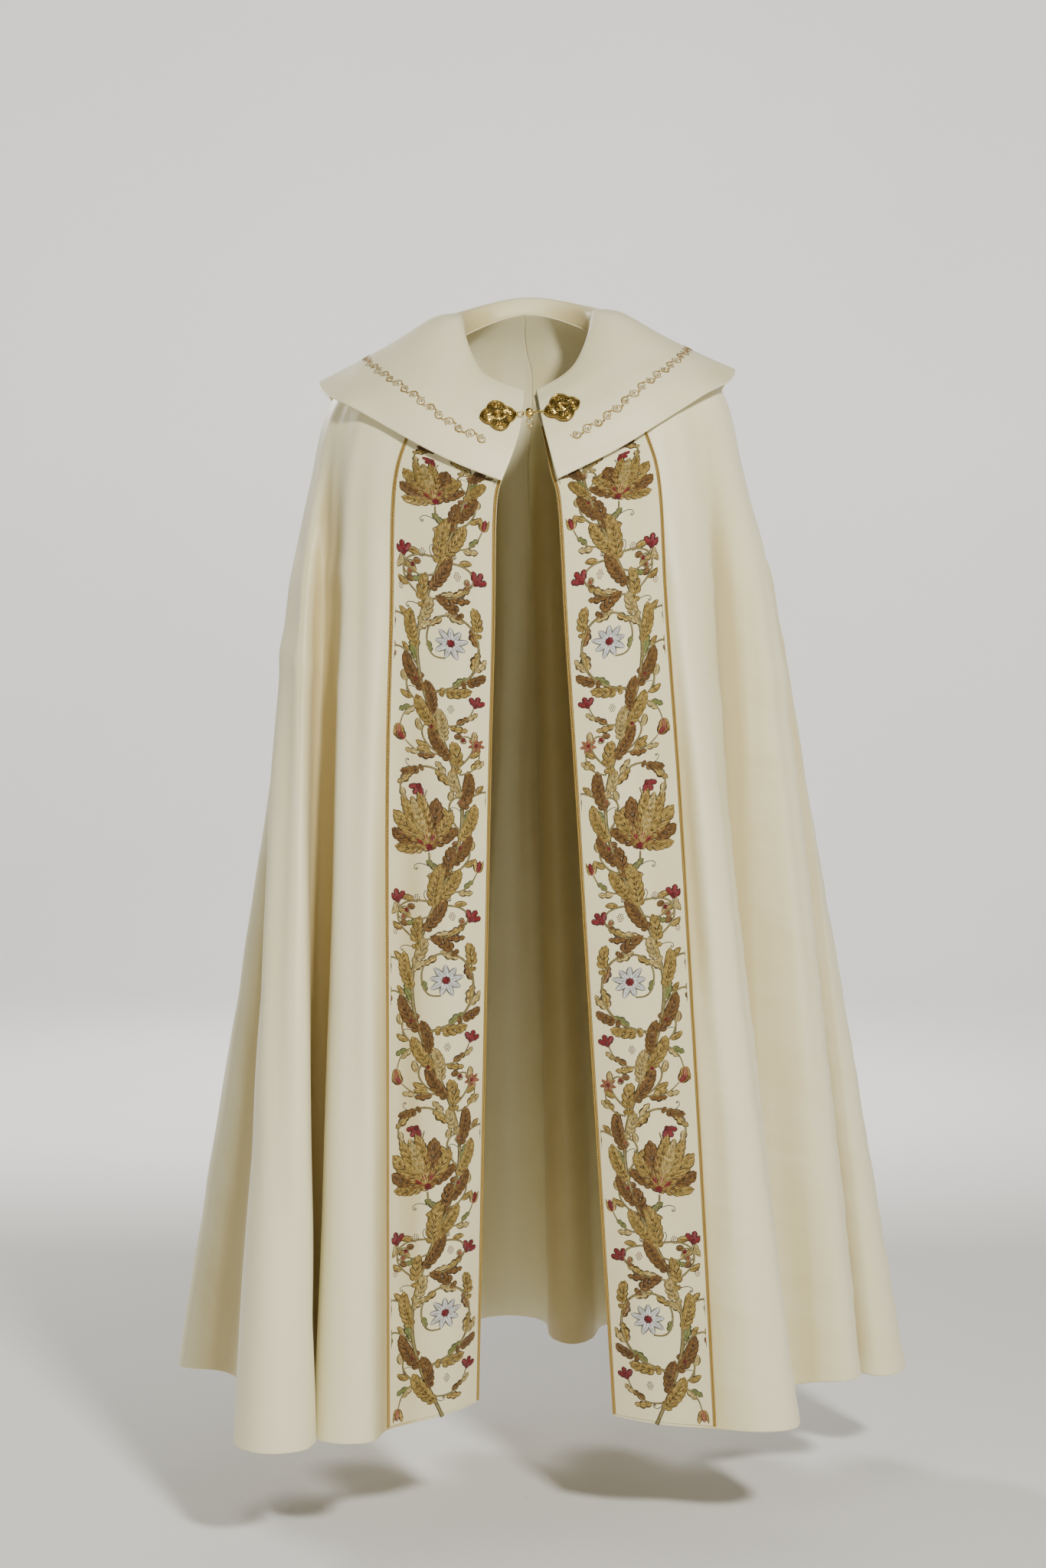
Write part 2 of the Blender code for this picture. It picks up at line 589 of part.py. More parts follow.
def add_rosette(name, centre, facing, along, across, gold):
    """A plate with four lobes, a raised rim and a boss, lofted ring by ring."""
    turns = np.arange(ROSETTE_SIDES) * 2 * math.pi / ROSETTE_SIDES
    off_lobe = (turns + math.pi / 4) % (math.pi / 2) - math.pi / 4
    middle = ROSETTE_RADIUS - ROSETTE_LOBE
    outline = middle * np.cos(off_lobe) + np.sqrt(ROSETTE_LOBE ** 2 - (middle * np.sin(off_lobe)) ** 2)
    points = []
    for ring in named(PROFILE_COLUMNS, ROSETTE_PROFILE):
        reach = ring["reach"] * (outline + (ROSETTE_RADIUS - outline) * ring["round"])
        spokes = np.cos(turns)[:, None] * along + np.sin(turns)[:, None] * across
        points.append(centre + reach[:, None] * spokes + ring["height"] * facing)
    points = list(np.concatenate(points)) + [centre + BOSS_TOP * facing]
    faces = [list(range(ROSETTE_SIDES))[::-1]]
    rings = len(ROSETTE_PROFILE)
    for r in range(rings - 1):
        for i in range(ROSETTE_SIDES):
            here, there = r * ROSETTE_SIDES + i, r * ROSETTE_SIDES + (i + 1) % ROSETTE_SIDES
            faces.append([here, there, there + ROSETTE_SIDES, here + ROSETTE_SIDES])
    last = (rings - 1) * ROSETTE_SIDES
    for i in range(ROSETTE_SIDES):
        faces.append([last + i, last + (i + 1) % ROSETTE_SIDES, rings * ROSETTE_SIDES])
    mesh = bpy.data.meshes.new(name)
    mesh.from_pydata([tuple(p) for p in points], [], faces)
    mesh.shade_smooth()
    mesh.set_sharp_from_angle(angle=math.radians(50))
    return add_object(name, mesh, gold)


def in_plane(direction, facing):
    return unit(direction - (direction @ facing) * facing)


def turned(first, second, degrees):
    """Two square axes turned in their own plane."""
    turn = math.radians(degrees)
    return (
        math.cos(turn) * first + math.sin(turn) * second,
        math.cos(turn) * second - math.sin(turn) * first,
    )


def add_clasp(collar, gold):
    """Both rosettes, and between them a ring, a hook with a knob, the links and the hanging drop."""
    seats = {}
    for side, (degrees, out, turn) in (("left", LEFT_ROSETTE), ("right", RIGHT_ROSETTE)):
        facing = collar.normal(out, [degrees])[0]
        seats[side] = (collar.at(out, [degrees])[0] + ROSETTE_GAP * facing, facing, turn)
    mid_plate = ROSETTE_PROFILE[1][2] / 2 + SEAM_GAP
    lugs = {}
    for side, other in (("left", "right"), ("right", "left")):
        centre, facing, turn = seats[side]
        towards = in_plane(seats[other][0] - centre, facing)
        along = towards if side == "left" else -towards
        across = np.cross(facing, along)
        lobe, lobe_up = turned(along, across, turn)
        plate = add_rosette("rosette_" + side, centre, facing, lobe, lobe_up, gold)
        lugs[side] = centre + mid_plate * facing + (ROSETTE_RADIUS + LUG_OUT) * towards
        loop = circle(lugs[side], towards, facing, LUG_RADIUS, 12)
        join(plate, [add_wire("lug_" + side, loop, LUG_WIRE, True, gold)])
    along = unit(lugs["right"] - lugs["left"])
    facing = in_plane(seats["left"][1] + seats["right"][1], along)
    up = np.cross(facing, along)

    ring_middle = lugs["left"] + RING_RADIUS * along
    add_wire("ring", circle(ring_middle, along, up, RING_RADIUS, 20), RING_WIRE, True, gold)

    round_middle = ring_middle + RING_RADIUS * along
    knob_middle = round_middle + HOOK_REACH * along
    upright = unit(np.array([0, 0, 1.0]) - along[2] * along)
    level = np.cross(along, upright)
    bpy.ops.mesh.primitive_uv_sphere_add(segments=16, ring_count=10, radius=1)
    knob = bpy.context.object
    knob.name = "hook"
    knob.data.name = "hook"
    knob.data.materials.append(gold)
    for collection in list(knob.users_collection):
        collection.objects.unlink(knob)
    bpy.data.collections[GARMENT].objects.link(knob)
    for vertex in knob.data.vertices:
        x, y, z = vertex.co
        place = knob_middle + x * KNOB_HALF[0] * along + y * KNOB_HALF[2] * level + z * KNOB_HALF[1] * upright
        vertex.co = tuple(place)
    knob.data.flip_normals()
    knob.data.shade_smooth()
    shank = [knob_middle - SHANK_DEPTH * HOOK_RADIUS * facing]
    bend = circle(round_middle, along, facing, HOOK_RADIUS, 14, -90, -90 - HOOK_OPEN_DEG)
    wires = [add_wire("hook_wire", np.concatenate([shank, bend]), HOOK_WIRE, False, gold)]
    knob_lug = knob_middle + (KNOB_HALF[0] + LUG_OUT) * along
    wires.append(add_wire("knob_lug", circle(knob_lug, along, facing, LUG_RADIUS, 12), LUG_WIRE, True, gold))
    eye = knob_middle - (KNOB_HALF[1] + LUG_OUT) * upright
    wires.append(add_wire("drop_eye", circle(eye, -upright, level, LUG_RADIUS, 12), LUG_WIRE, True, gold))
    join(knob, wires)

    run = np.linalg.norm(lugs["right"] - knob_lug)
    half = (run + (LINKS - 1) * (2 * LINK_WIRE + LINK_PLAY)) / (2 * LINKS)
    pitch = 2 * half - 2 * LINK_WIRE - LINK_PLAY
    for i in range(LINKS):
        centre = knob_lug + (half + i * pitch) * along
        path = link_path(centre, along, up if i % 2 == 0 else facing, half)
        add_wire(f"link_{i + 1}", path, LINK_WIRE, True, gold)

    side, down = np.array([1.0, 0, 0]), np.array([0, 0, -1.0])
    big = circle(eye + DROP_RADIUS * down, side, down, DROP_RADIUS, 20)
    wire = add_wire("drop_ring", big, RING_WIRE, True, gold, eye)
    drop = add_object("drop", wire_mesh(wire), gold)
    bpy.data.objects.remove(wire)
    drop.data.name = "drop"
    drop.location = eye
    small = circle(eye + (DROP_RADIUS + DROP_STEP) * down, side, down, SMALL_DROP_RADIUS, 16)
    join(drop, [add_wire("drop_small", small, LUG_WIRE, True, gold, eye)])
    print("drop hinge at", [round(float(v), 5) for v in eye], "link half length", round(float(half), 5))


def clear_scene():
    for piece in list(bpy.data.objects):
        bpy.data.objects.remove(piece)
    for name in (GARMENT, HELPERS):
        if name in bpy.data.collections:
            bpy.data.collections.remove(bpy.data.collections[name])
        bpy.context.scene.collection.children.link(bpy.data.collections.new(name))


def main():
    clear_scene()
    cream = make_material("cream_cloth", (0.80, 0.74, 0.59), 0.55)
    ground = make_material("band_cloth", (0.78, 0.72, 0.58), 0.6)
    gold_cord = make_material("gold_cord", (0.62, 0.43, 0.12), 0.4, 0.4)
    cloak = Cloak()
    points, normals, band_columns, seams = cloak_grid(cloak)
    add_panels(points, normals, seams, cream)
    add_bands(points, normals, band_columns, ground)
    last = points.shape[1] - 1
    strips = {
        "piping_left_inner": (0, 1),
        "piping_left_outer": (band_columns - 2, band_columns - 1),
        "piping_right_outer": (last - band_columns + 2, last - band_columns + 1),
        "piping_right_inner": (last, last - 1),
    }
    for name, columns in strips.items():
        add_piping(name, points, normals, columns, gold_cord)
    collar = Collar(cloak)
    add_collar(collar, cream)
    add_clasp(collar, make_material("gold_metal", (0.78, 0.60, 0.22), 0.3, 1.0))
    run = np.linalg.norm(np.diff(points[-1], axis=0), axis=1).sum()
    print("hem length", round(run, 3), "columns", points.shape)


main()
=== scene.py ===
import math

import bpy
import numpy as np
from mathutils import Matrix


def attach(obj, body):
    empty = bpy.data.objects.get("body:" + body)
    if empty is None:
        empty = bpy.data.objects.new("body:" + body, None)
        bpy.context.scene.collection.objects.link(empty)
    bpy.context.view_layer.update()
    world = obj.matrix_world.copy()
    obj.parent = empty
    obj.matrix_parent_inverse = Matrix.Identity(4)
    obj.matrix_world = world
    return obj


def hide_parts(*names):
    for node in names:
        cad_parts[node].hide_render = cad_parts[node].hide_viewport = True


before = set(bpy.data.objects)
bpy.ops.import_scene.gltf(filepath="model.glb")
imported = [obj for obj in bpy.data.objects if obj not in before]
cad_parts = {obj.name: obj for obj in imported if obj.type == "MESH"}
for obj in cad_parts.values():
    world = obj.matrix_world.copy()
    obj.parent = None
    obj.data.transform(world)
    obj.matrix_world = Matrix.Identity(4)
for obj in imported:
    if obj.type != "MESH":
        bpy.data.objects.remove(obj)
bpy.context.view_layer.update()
print("cope: solids loaded")

# camera and studio

studio = {
    "cameraAt": (-0.005, -4.0, -0.30),
    "cameraTo": (-0.005, 0.0, -0.573),
    "lens": 72.0,
    "floorZ": -1.500, "floorOut": 4.9, "wallBend": 1.6, "wallHeight": 5.0,
    "floorColour": (0.86, 0.85, 0.83),
    "skyColour": (0.93, 0.93, 0.95),
    "skyStrength": 0.05,
    # name, where it stands, what it faces, size, watts, colour
    "lamps": [
        ("keyLamp", (1.3, -3.7, 1.6), (0.0, 0.0, -0.6), 0.5, 230, (1.0, 0.985, 0.91)),
        ("fillLamp", (-3.3, -1.6, 0.3), (0.0, 0.0, -0.6), 0.9, 6, (1.0, 0.97, 0.92)),
        ("topLamp", (0.3, 0.8, 2.6), (0.0, 0.0, -0.3), 1.4, 8, (1.0, 0.98, 0.95)),
        ("backLamp", (-2.4, 3.0, 1.4), (0.0, 0.0, -0.6), 1.0, 100, (1.0, 0.98, 0.93)),
        ("wallLamp", (0.0, 2.2, 1.2), (0.0, 6.5, 0.0), 2.4, 170, (1.0, 0.99, 0.97)),
    ],
}


def turnTowards(item, place, target):
    # puts an object at a place with its -Z axis on the target
    item.location = place
    reach = np.array(target, float) - np.array(place, float)
    flat = math.hypot(reach[0], reach[1])
    bearing = math.atan2(reach[1], reach[0])
    item.rotation_euler = (math.atan2(flat, -reach[2]), 0.0, bearing - math.pi / 2)


cameraData = bpy.data.cameras.new("frontCamera")
cameraData.lens = studio["lens"]
cameraData.sensor_fit = "VERTICAL"
cameraData.sensor_height = 36.0
camera = bpy.data.objects.new("frontCamera", cameraData)
bpy.context.scene.collection.objects.link(camera)
turnTowards(camera, studio["cameraAt"], studio["cameraTo"])
bpy.context.scene.camera = camera


# shader maths: a wrapped socket adds a Math node for each operation on it

class Wire:
    def __init__(self, paint, socket):
        self.paint, self.socket = paint, socket

    def maths(self, operation, *values):
        return self.paint.node("ShaderNodeMath", {"operation": operation}, dict(enumerate(values)))

    def __add__(self, other):
        return self.maths("ADD", self, other)

    def __radd__(self, other):
        return self.maths("ADD", other, self)

    def __sub__(self, other):
        return self.maths("SUBTRACT", self, other)

    def __rsub__(self, other):
        return self.maths("SUBTRACT", other, self)

    def __mul__(self, other):
        return self.maths("MULTIPLY", self, other)

    def __truediv__(self, other):
        return self.maths("DIVIDE", self, other)

    def wave(self):
        # between 0 and 1, once round in 2 pi
        return self.maths("SINE", self) * 0.5 + 0.5

    def size(self):
        return self.maths("ABSOLUTE", self)

    def part(self):
        return self.maths("FRACT", self)

    def step(self, low, high):
        # 0 below low, 1 above high and smooth between
        settings = {"interpolation_type": "SMOOTHSTEP"}
        values = {"Value": self, "From Min": low, "From Max": high}
        return self.paint.node("ShaderNodeMapRange", settings, values)


class Paint:
    # one material, its Principled shader and the nodes that feed it
    def __init__(self, name, **fixed):
        self.material = bpy.data.materials.new(name)
        self.material.use_nodes = True
        self.tree = self.material.node_tree
        self.shader = self.tree.nodes["Principled BSDF"]
        for socket, value in fixed.items():
            self.feed(self.shader, socket.replace("_", " "), value)

    def feed(self, node, socket, value):
        target = node.inputs[socket]
        if isinstance(value, Wire):
            self.tree.links.new(value.socket, target)
        elif isinstance(value, tuple) and len(value) == 3 and target.type == "RGBA":
            target.default_value = (*value, 1.0)
        else:
            target.default_value = value

    def node(self, kind, settings=None, inputs=None, output=0):
        made = self.tree.nodes.new(kind)
        for key, value in (settings or {}).items():
            setattr(made, key, value)
        for socket, value in (inputs or {}).items():
            self.feed(made, socket, value)
        return Wire(self, made.outputs[output])

    def mapUv(self, name):
        # the two coordinates of a UV map, and the map as a vector
        vector = self.node("ShaderNodeUVMap", {"uv_map": name})
        split = self.tree.nodes.new("ShaderNodeSeparateXYZ")
        self.tree.links.new(vector.socket, split.inputs[0])
        return Wire(self, split.outputs[0]), Wire(self, split.outputs[1]), vector

    def place(self):
        # object coordinates
        return self.node("ShaderNodeTexCoord", output=3)

    def stretched(self, vector, scale):
        settings = {"operation": "MULTIPLY"}
        return self.node("ShaderNodeVectorMath", settings, {0: vector, 1: scale})

    def noise(self, vector, scale, detail, roughness):
        values = {"Vector": vector, "Scale": scale, "Detail": detail, "Roughness": roughness}
        return self.node("ShaderNodeTexNoise", {}, values)

    def blend(self, share, first, second):
        # sockets 0, 6 and 7 are the factor and the two colours
        settings = {"data_type": "RGBA"}
        return self.node("ShaderNodeMix", settings, {0: share, 6: first, 7: second}, output=2)

    def bump(self, height, distance, strength):
        values = {"Height": height, "Distance": distance, "Strength": strength}
        return self.node("ShaderNodeBump", {}, values)

    def use(self, **links):
        for socket, value in links.items():
            self.feed(self.shader, socket.replace("_", " "), value)
        return self.material


# materials

clothLook = {
    "light": (0.850, 0.790, 0.520),
    "deep": (0.740, 0.640, 0.330),
    "bandLight": (0.760, 0.690, 0.430),
    "bandDeep": (0.680, 0.590, 0.330),
    # painted light on the folds: how strongly a painted shade darkens the hollows and a painted highlight
    # lightens the ridges, and the colour of the painted shade deep in a fold
    "hollowShade": 0.85, "ridgeHighlight": 0.35, "shade": (0.440, 0.320, 0.130), "shadeFrom": 0.25, "shadeShare": 0.50,
    # the spans that a fold is measured over, each with the depth that counts as full
    "foldSpans": ((0.016, 0.0055), (0.036, 0.014)),
    # where the cloth's main direction is read, and how a flank that turns away from it counts towards the
    # painted shade
    "mainSteps": (-0.09, -0.06, -0.03, 0.0, 0.03, 0.06, 0.09),
    "flank": 0.75, "flankFull": 0.42, "flankPower": 0.8,
    "mostFold": 1.4, "edgeFade": 0.03, "evenRows": 5,
    "tintShare": 0.9, "streakShare": 0.35, "middleTone": 0.42, "toneEnd": 1.3,
    "roughness": 0.40, "sheen": 0.22, "bandRoughness": 0.62, "bandSheen": 0.12,
    "bumpDepth": 0.00055, "bumpStrength": 0.55,
}


def makeCloth(name, light, deep, roughness, sheen, weave, slub):
    # warp and weft fibres are noise drawn out along and across the cloth, over a slow change of tone; on top
    # of that comes painted shade in the hollows of the folds and a painted highlight on their ridges
    look = clothLook
    paint = Paint(name, Sheen_Weight=sheen, Sheen_Roughness=0.45, Sheen_Tint=(1.0, 0.95, 0.82))
    _, _, uv = paint.mapUv("cloth")
    warp = paint.noise(paint.stretched(uv, (weave, weave * 0.16, 1.0)), 1.0, 2.0, 0.6)
    weft = paint.noise(paint.stretched(uv, (weave * 0.13, weave * 0.9, 1.0)), 1.0, 2.0, 0.6)
    slow = paint.noise(uv, 7.0, 3.0, 0.55)
    streak = paint.noise(paint.stretched(uv, (60.0, 4.0, 1.0)), 1.0, 2.0, 0.5)
    grain = warp * 0.5 + weft * 0.5
    tone = (grain - 0.5) * slub + (slow - 0.5) * look["tintShare"] + (streak - 0.5) * look["streakShare"]
    # painted shade and painted highlight: the hollows of the folds and the flanks that turn away are made
    # darker, the ridges lighter
    hollowShade, ridgeHighlight, _ = paint.mapUv("foldShading")
    tone = tone + look["middleTone"] + hollowShade * look["hollowShade"] - ridgeHighlight * look["ridgeHighlight"]
    colour = paint.blend(tone.step(0.0, look["toneEnd"]), light, deep)
    # painted shade: a darker warm colour mixed in where the hollows are deepest
    shaded = hollowShade.step(look["shadeFrom"], 1.2) * look["shadeShare"]
    colour = paint.blend(shaded, colour, look["shade"])
    rough = roughness + (grain - 0.5) * 0.18 + (slow - 0.5) * 0.08
    normal = paint.bump(grain, look["bumpDepth"], look["bumpStrength"])
    return paint.use(Base_Color=colour, Roughness=rough, Normal=normal)


stitch = {
    "pitch": 0.00105, "slant": 0.62, "mottle": 1.5, "edgeShare": 0.9, "ribShare": 0.75, "depth": 0.00030,
}


def makeThread(name, light, deep, edge, roughness, metallic=0.0, veins=0.0):
    # satin stitch: fine ridges across each shape, darker at its outline, its rib and between its lobes
    paint = Paint(name, Sheen_Weight=0.12, Sheen_Roughness=0.4)
    side, lobe, _ = paint.mapUv("leaf")
    across, along, _ = paint.mapUv("thread")
    stitches = ((along + across.size() * stitch["slant"]) * (2 * math.pi / stitch["pitch"])).wave()
    mottled = paint.noise(paint.place(), 260.0, 2.0, 0.6)
    outline = side.size().step(0.40, 0.74)
    rib = 1.0 - side.size().step(0.03, 0.12)
    shade = stitches * 0.45 + (mottled - 0.5) * stitch["mottle"] + 0.2
    if veins:
        between = (lobe + side.size() * 0.35).part()
        vein = ((between - 0.5).size()).step(0.30, 0.49)
        shade = shade + vein * side.size() * veins
    colour = paint.blend(shade.step(0.0, 1.0), light, deep)
    dark = outline.maths("MAXIMUM", outline, rib * (stitch["ribShare"] if veins else 0.0))
    colour = paint.blend(dark * stitch["edgeShare"], colour, edge)
    normal = paint.bump(stitches - dark * 1.2, stitch["depth"], 0.8)
    return paint.use(Base_Color=colour, Roughness=roughness, Metallic=metallic, Normal=normal)


def makeTwist(name, light, deep, pitch, strands):
    # strands wound round a cord: a slanted wave round and along it
    paint = Paint(name, Metallic=0.55)
    around, along, _ = paint.mapUv("cloth")
    wound = ((around * strands + along / pitch) * (2 * math.pi)).wave()
    fine = paint.noise(paint.place(), 900.0, 2.0, 0.6)
    colour = paint.blend((wound * 0.8 + fine * 0.4 - 0.1).step(0.1, 1.0), deep, light)
    normal = paint.bump(wound + fine * 0.2, 0.00045, 0.9)
    return paint.use(Base_Color=colour, Roughness=0.36, Normal=normal)


def makeGilt(name, light, deep):
    # pressed and gilded metal: bright on the high places, browner and duller in the hollows
    paint = Paint(name, Metallic=1.0)
    place = paint.place()
    height, _, _ = paint.mapUv("relief")
    worn = paint.noise(place, 420.0, 4.0, 0.6)
    spots = paint.noise(place, 2200.0, 2.0, 0.5)
    high = height.step(0.15, 0.75)
    colour = paint.blend(high * 0.85 + (worn - 0.5) * 0.5, deep, light)
    rough = 0.40 - high * 0.20 + (worn - 0.5) * 0.22
    normal = paint.bump(worn * 0.6 + spots * 0.4, 0.00010, 0.5)
    return paint.use(Base_Color=colour, Roughness=rough, Normal=normal)


look = clothLook
cream = makeCloth("creamSatin", look["light"], look["deep"], look["roughness"], look["sheen"], 1500.0, 0.55)
ground = makeCloth(
    "bandGround", look["bandLight"], look["bandDeep"], look["bandRoughness"], look["bandSheen"], 1150.0, 0.75,
)
goldCord = makeTwist("goldCord", (0.66, 0.45, 0.12), (0.22, 0.12, 0.022), 0.0021, 1.0)
gilt = makeGilt("giltMetal", (0.80, 0.58, 0.17), (0.16, 0.085, 0.016))
threadLook = {
    # light, deep and outline colours, roughness, then how metallic it is and how strong its veins are
    "gold": ((0.60, 0.42, 0.105), (0.115, 0.060, 0.010), (0.022, 0.011, 0.004), 0.34, 0.35, 1.0),
    "straw": ((0.70, 0.55, 0.21), (0.200, 0.125, 0.030), (0.035, 0.020, 0.007), 0.36, 0.25, 0.9),
    "brown": ((0.28, 0.14, 0.028), (0.065, 0.028, 0.007), (0.016, 0.008, 0.004), 0.40, 0.25, 1.0),
    "copper": ((0.42, 0.15, 0.06), (0.17, 0.05, 0.022), (0.045, 0.012, 0.008), 0.42, 0.10, 0.6),
    "olive": ((0.30, 0.24, 0.085), (0.090, 0.064, 0.018), (0.015, 0.011, 0.005), 0.44),
    "green": ((0.21, 0.23, 0.05), (0.080, 0.088, 0.018), (0.020, 0.021, 0.008), 0.46, 0.0, 0.6),
    "red": ((0.21, 0.004, 0.008), (0.08, 0.002, 0.004), (0.030, 0.002, 0.004), 0.46),
    "silver": ((0.78, 0.77, 0.74), (0.34, 0.33, 0.31), (0.05, 0.046, 0.042), 0.34, 0.10, 0.5),
    "dark": ((0.075, 0.065, 0.038), (0.040, 0.033, 0.020), (0.02, 0.018, 0.012), 0.5),
    "plum": ((0.090, 0.012, 0.030), (0.035, 0.008, 0.016), (0.014, 0.004, 0.007), 0.45),
    "chain": ((0.50, 0.33, 0.085), (0.26, 0.15, 0.030), (0.12, 0.065, 0.015), 0.36, 0.30),
}
threads = [makeThread(f"{tone}Thread", *values) for tone, values in threadLook.items()]
threadNames = list(threadLook)
print("cope: materials made")


# geometry helpers

def unit(vectors):
    return vectors / np.linalg.norm(vectors, axis=-1, keepdims=True)


def gridQuads(rows, columns, wrap=False):
    # quads of a grid of points, turned so that columns crossed with rows point out
    r, c = np.meshgrid(np.arange(rows - 1), np.arange(columns if wrap else columns - 1), indexing="ij")
    here, below, right = r * columns, (r + 1) * columns, (c + 1) % columns
    return np.stack([here + c, here + right, below + right, below + c], axis=-1).reshape(-1, 4)


def finishPiece(piece, replaced=None, body="cope"):
    # hides the solid that a piece stands for and hangs the piece on the body that carries it
    if replaced:
        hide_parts(replaced)
    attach(piece, body)
    return piece


def addPiece(name, points, quads, materials, uvs, faceMaterials=None):
    # a mesh from whole arrays: points, quads and one uv pair a point for each map
    mesh = bpy.data.meshes.new(name)
    points = np.ascontiguousarray(points, dtype=np.float32)
    quads = np.ascontiguousarray(quads, dtype=np.int32)
    mesh.vertices.add(len(points))
    mesh.vertices.foreach_set("co", points.ravel())
    mesh.loops.add(quads.size)
    mesh.loops.foreach_set("vertex_index", quads.ravel())
    mesh.polygons.add(len(quads))
    mesh.polygons.foreach_set("loop_start", np.arange(0, quads.size, 4, dtype=np.int32))
    for material in materials:
        mesh.materials.append(material)
    if faceMaterials is not None:
        mesh.polygons.foreach_set("material_index", np.asarray(faceMaterials, dtype=np.int32))
    for mapName, pairs in uvs.items():
        layer = mesh.uv_layers.new(name=mapName)
        layer.data.foreach_set("uv", np.asarray(pairs, dtype=np.float32)[quads.ravel()].ravel())
    mesh.update(calc_edges=True)
    mesh.validate()
    mesh.shade_smooth()
    piece = bpy.data.objects.new(name, mesh)
    bpy.context.scene.collection.objects.link(piece)
    return piece


def runAlong(points, axis):
    # distance run along one axis of a grid, from its first line
    steps = np.linalg.norm(np.diff(points, axis=axis), axis=-1)
    start = np.zeros_like(np.take(steps, [0], axis=axis))
    return np.concatenate([start, np.cumsum(steps, axis=axis)], axis=axis)


def pathRun(path):
    # distance run along a path, from its first point
    return np.concatenate([[0], np.cumsum(np.linalg.norm(np.diff(path, axis=0), axis=1))])


def gridNormals(points):
    # across crossed with down, from the differences between neighbours
    return unit(np.cross(np.gradient(points, axis=1), np.gradient(points, axis=0)))


# how far in from its edge a wall is rounded, as a share of its thickness, and the least that stays
wallEdge = {"reach": 0.55, "least": 0.09}


def clothWall(name, outer, normals, thickness, material, uv, folds=None):
    # two faces a thickness apart that close in a half round at every edge of the grid
    rows, columns = outer.shape[:2]
    across, down = runAlong(outer, 1), runAlong(outer, 0)
    toEdge = np.minimum.reduce([across, across[:, -1:] - across, down, down[-1:] - down])
    inwards = np.clip(toEdge / (wallEdge["reach"] * thickness), 0, 1)
    full = np.sqrt(np.clip(1 - (1 - inwards) ** 2, wallEdge["least"], 1))[..., None]
    front = outer - normals * thickness / 2 * (1 - full)
    back = outer - normals * thickness / 2 * (1 + full)
    shift = rows * columns
    quads = gridQuads(rows, columns)
    index = np.arange(shift).reshape(rows, columns)
    rim = np.concatenate([index[0], index[1:, -1], index[-1, -2::-1], index[-2:0:-1, 0]])
    after = np.roll(rim, -1)
    sides = np.stack([after, rim, rim + shift, after + shift], axis=-1)
    quads = np.concatenate([quads, quads[:, ::-1] + shift, sides])
    points = np.concatenate([front.reshape(-1, 3), back.reshape(-1, 3)])
    pairs = np.concatenate([uv.reshape(-1, 2)] * 2)
    # the second map carries the painted shade in the fold hollows and the painted highlight on the ridges,
    # worked out here unless it is given, the same on both faces
    folds = paintFoldShading(outer, normals) if folds is None else folds
    foldShadingPairs = np.concatenate([folds.reshape(-1, 2)] * 2)
    return addPiece(name, points, quads, [material], {"cloth": pairs, "foldShading": foldShadingPairs})


def shifted(values, across, step):
    # a grid's values read a step further along each of its rows
    moved = np.empty_like(values)
    for row in range(len(values)):
        for axis in range(values.shape[-1]):
            moved[row, :, axis] = np.interp(across[row] + step, across[row], values[row, :, axis])
    return moved


def paintFoldShading(points, normals):
    # painted shade and painted highlight for the folds: first how far each point lies under the middle of
    # points on both sides of it, with how far the cloth turns away there from its main direction, which sets
    # the painted shade; then how far a point lies over that middle, which sets the painted highlight
    look, most = clothLook, clothLook["mostFold"]
    across = runAlong(points, 1)
    measure = np.zeros(points.shape[:2])
    for span, full in look["foldSpans"]:
        middle = (shifted(points, across, -span) + shifted(points, across, span)) / 2
        measure += ((middle - points) * normals).sum(axis=-1) / full
    main = unit(sum(shifted(normals, across, step) for step in look["mainSteps"]))
    turned = np.clip((1 - (normals * main).sum(axis=-1)) / look["flankFull"], 0, 1) ** look["flankPower"]
    inside = np.clip(np.minimum(across, across[:, -1:] - across) / look["edgeFade"], 0, 1)
    deep = np.clip(np.clip(measure, 0, most) + look["flank"] * turned, 0, most)
    shadeAndHighlight = np.stack([deep * inside, np.clip(-measure, 0, most) * inside], axis=-1)
    # the painted shade and highlight are evened over a few rows, so that a fold which crosses the columns
    # aslant keeps a smooth edge
    rows, count = look["evenRows"], 2 * look["evenRows"] + 1
    padded = np.pad(shadeAndHighlight, ((rows, rows), (0, 0), (0, 0)), mode="edge")
    return sum(padded[shift:shift + len(shadeAndHighlight)] for shift in range(count)) / count


def tubeGrid(path, facing, radius, sides, closed):
    # a round profile carried along a path that bends about one facing direction
    path = np.asarray(path, float)
    if closed:
        ahead = np.roll(path, -1, axis=0) - np.roll(path, 1, axis=0)
    else:
        ahead = np.gradient(path, axis=0)
    ahead = unit(ahead)
    side = unit(np.cross(ahead, facing))
    over = np.cross(side, ahead)
    turns = (np.arange(sides) * 2 * math.pi / sides)[None, :, None]
    radius = np.broadcast_to(np.asarray(radius, float), (len(path),))[:, None, None]
    return path[:, None] + radius * (np.cos(turns) * side[:, None] + np.sin(turns) * over[:, None])


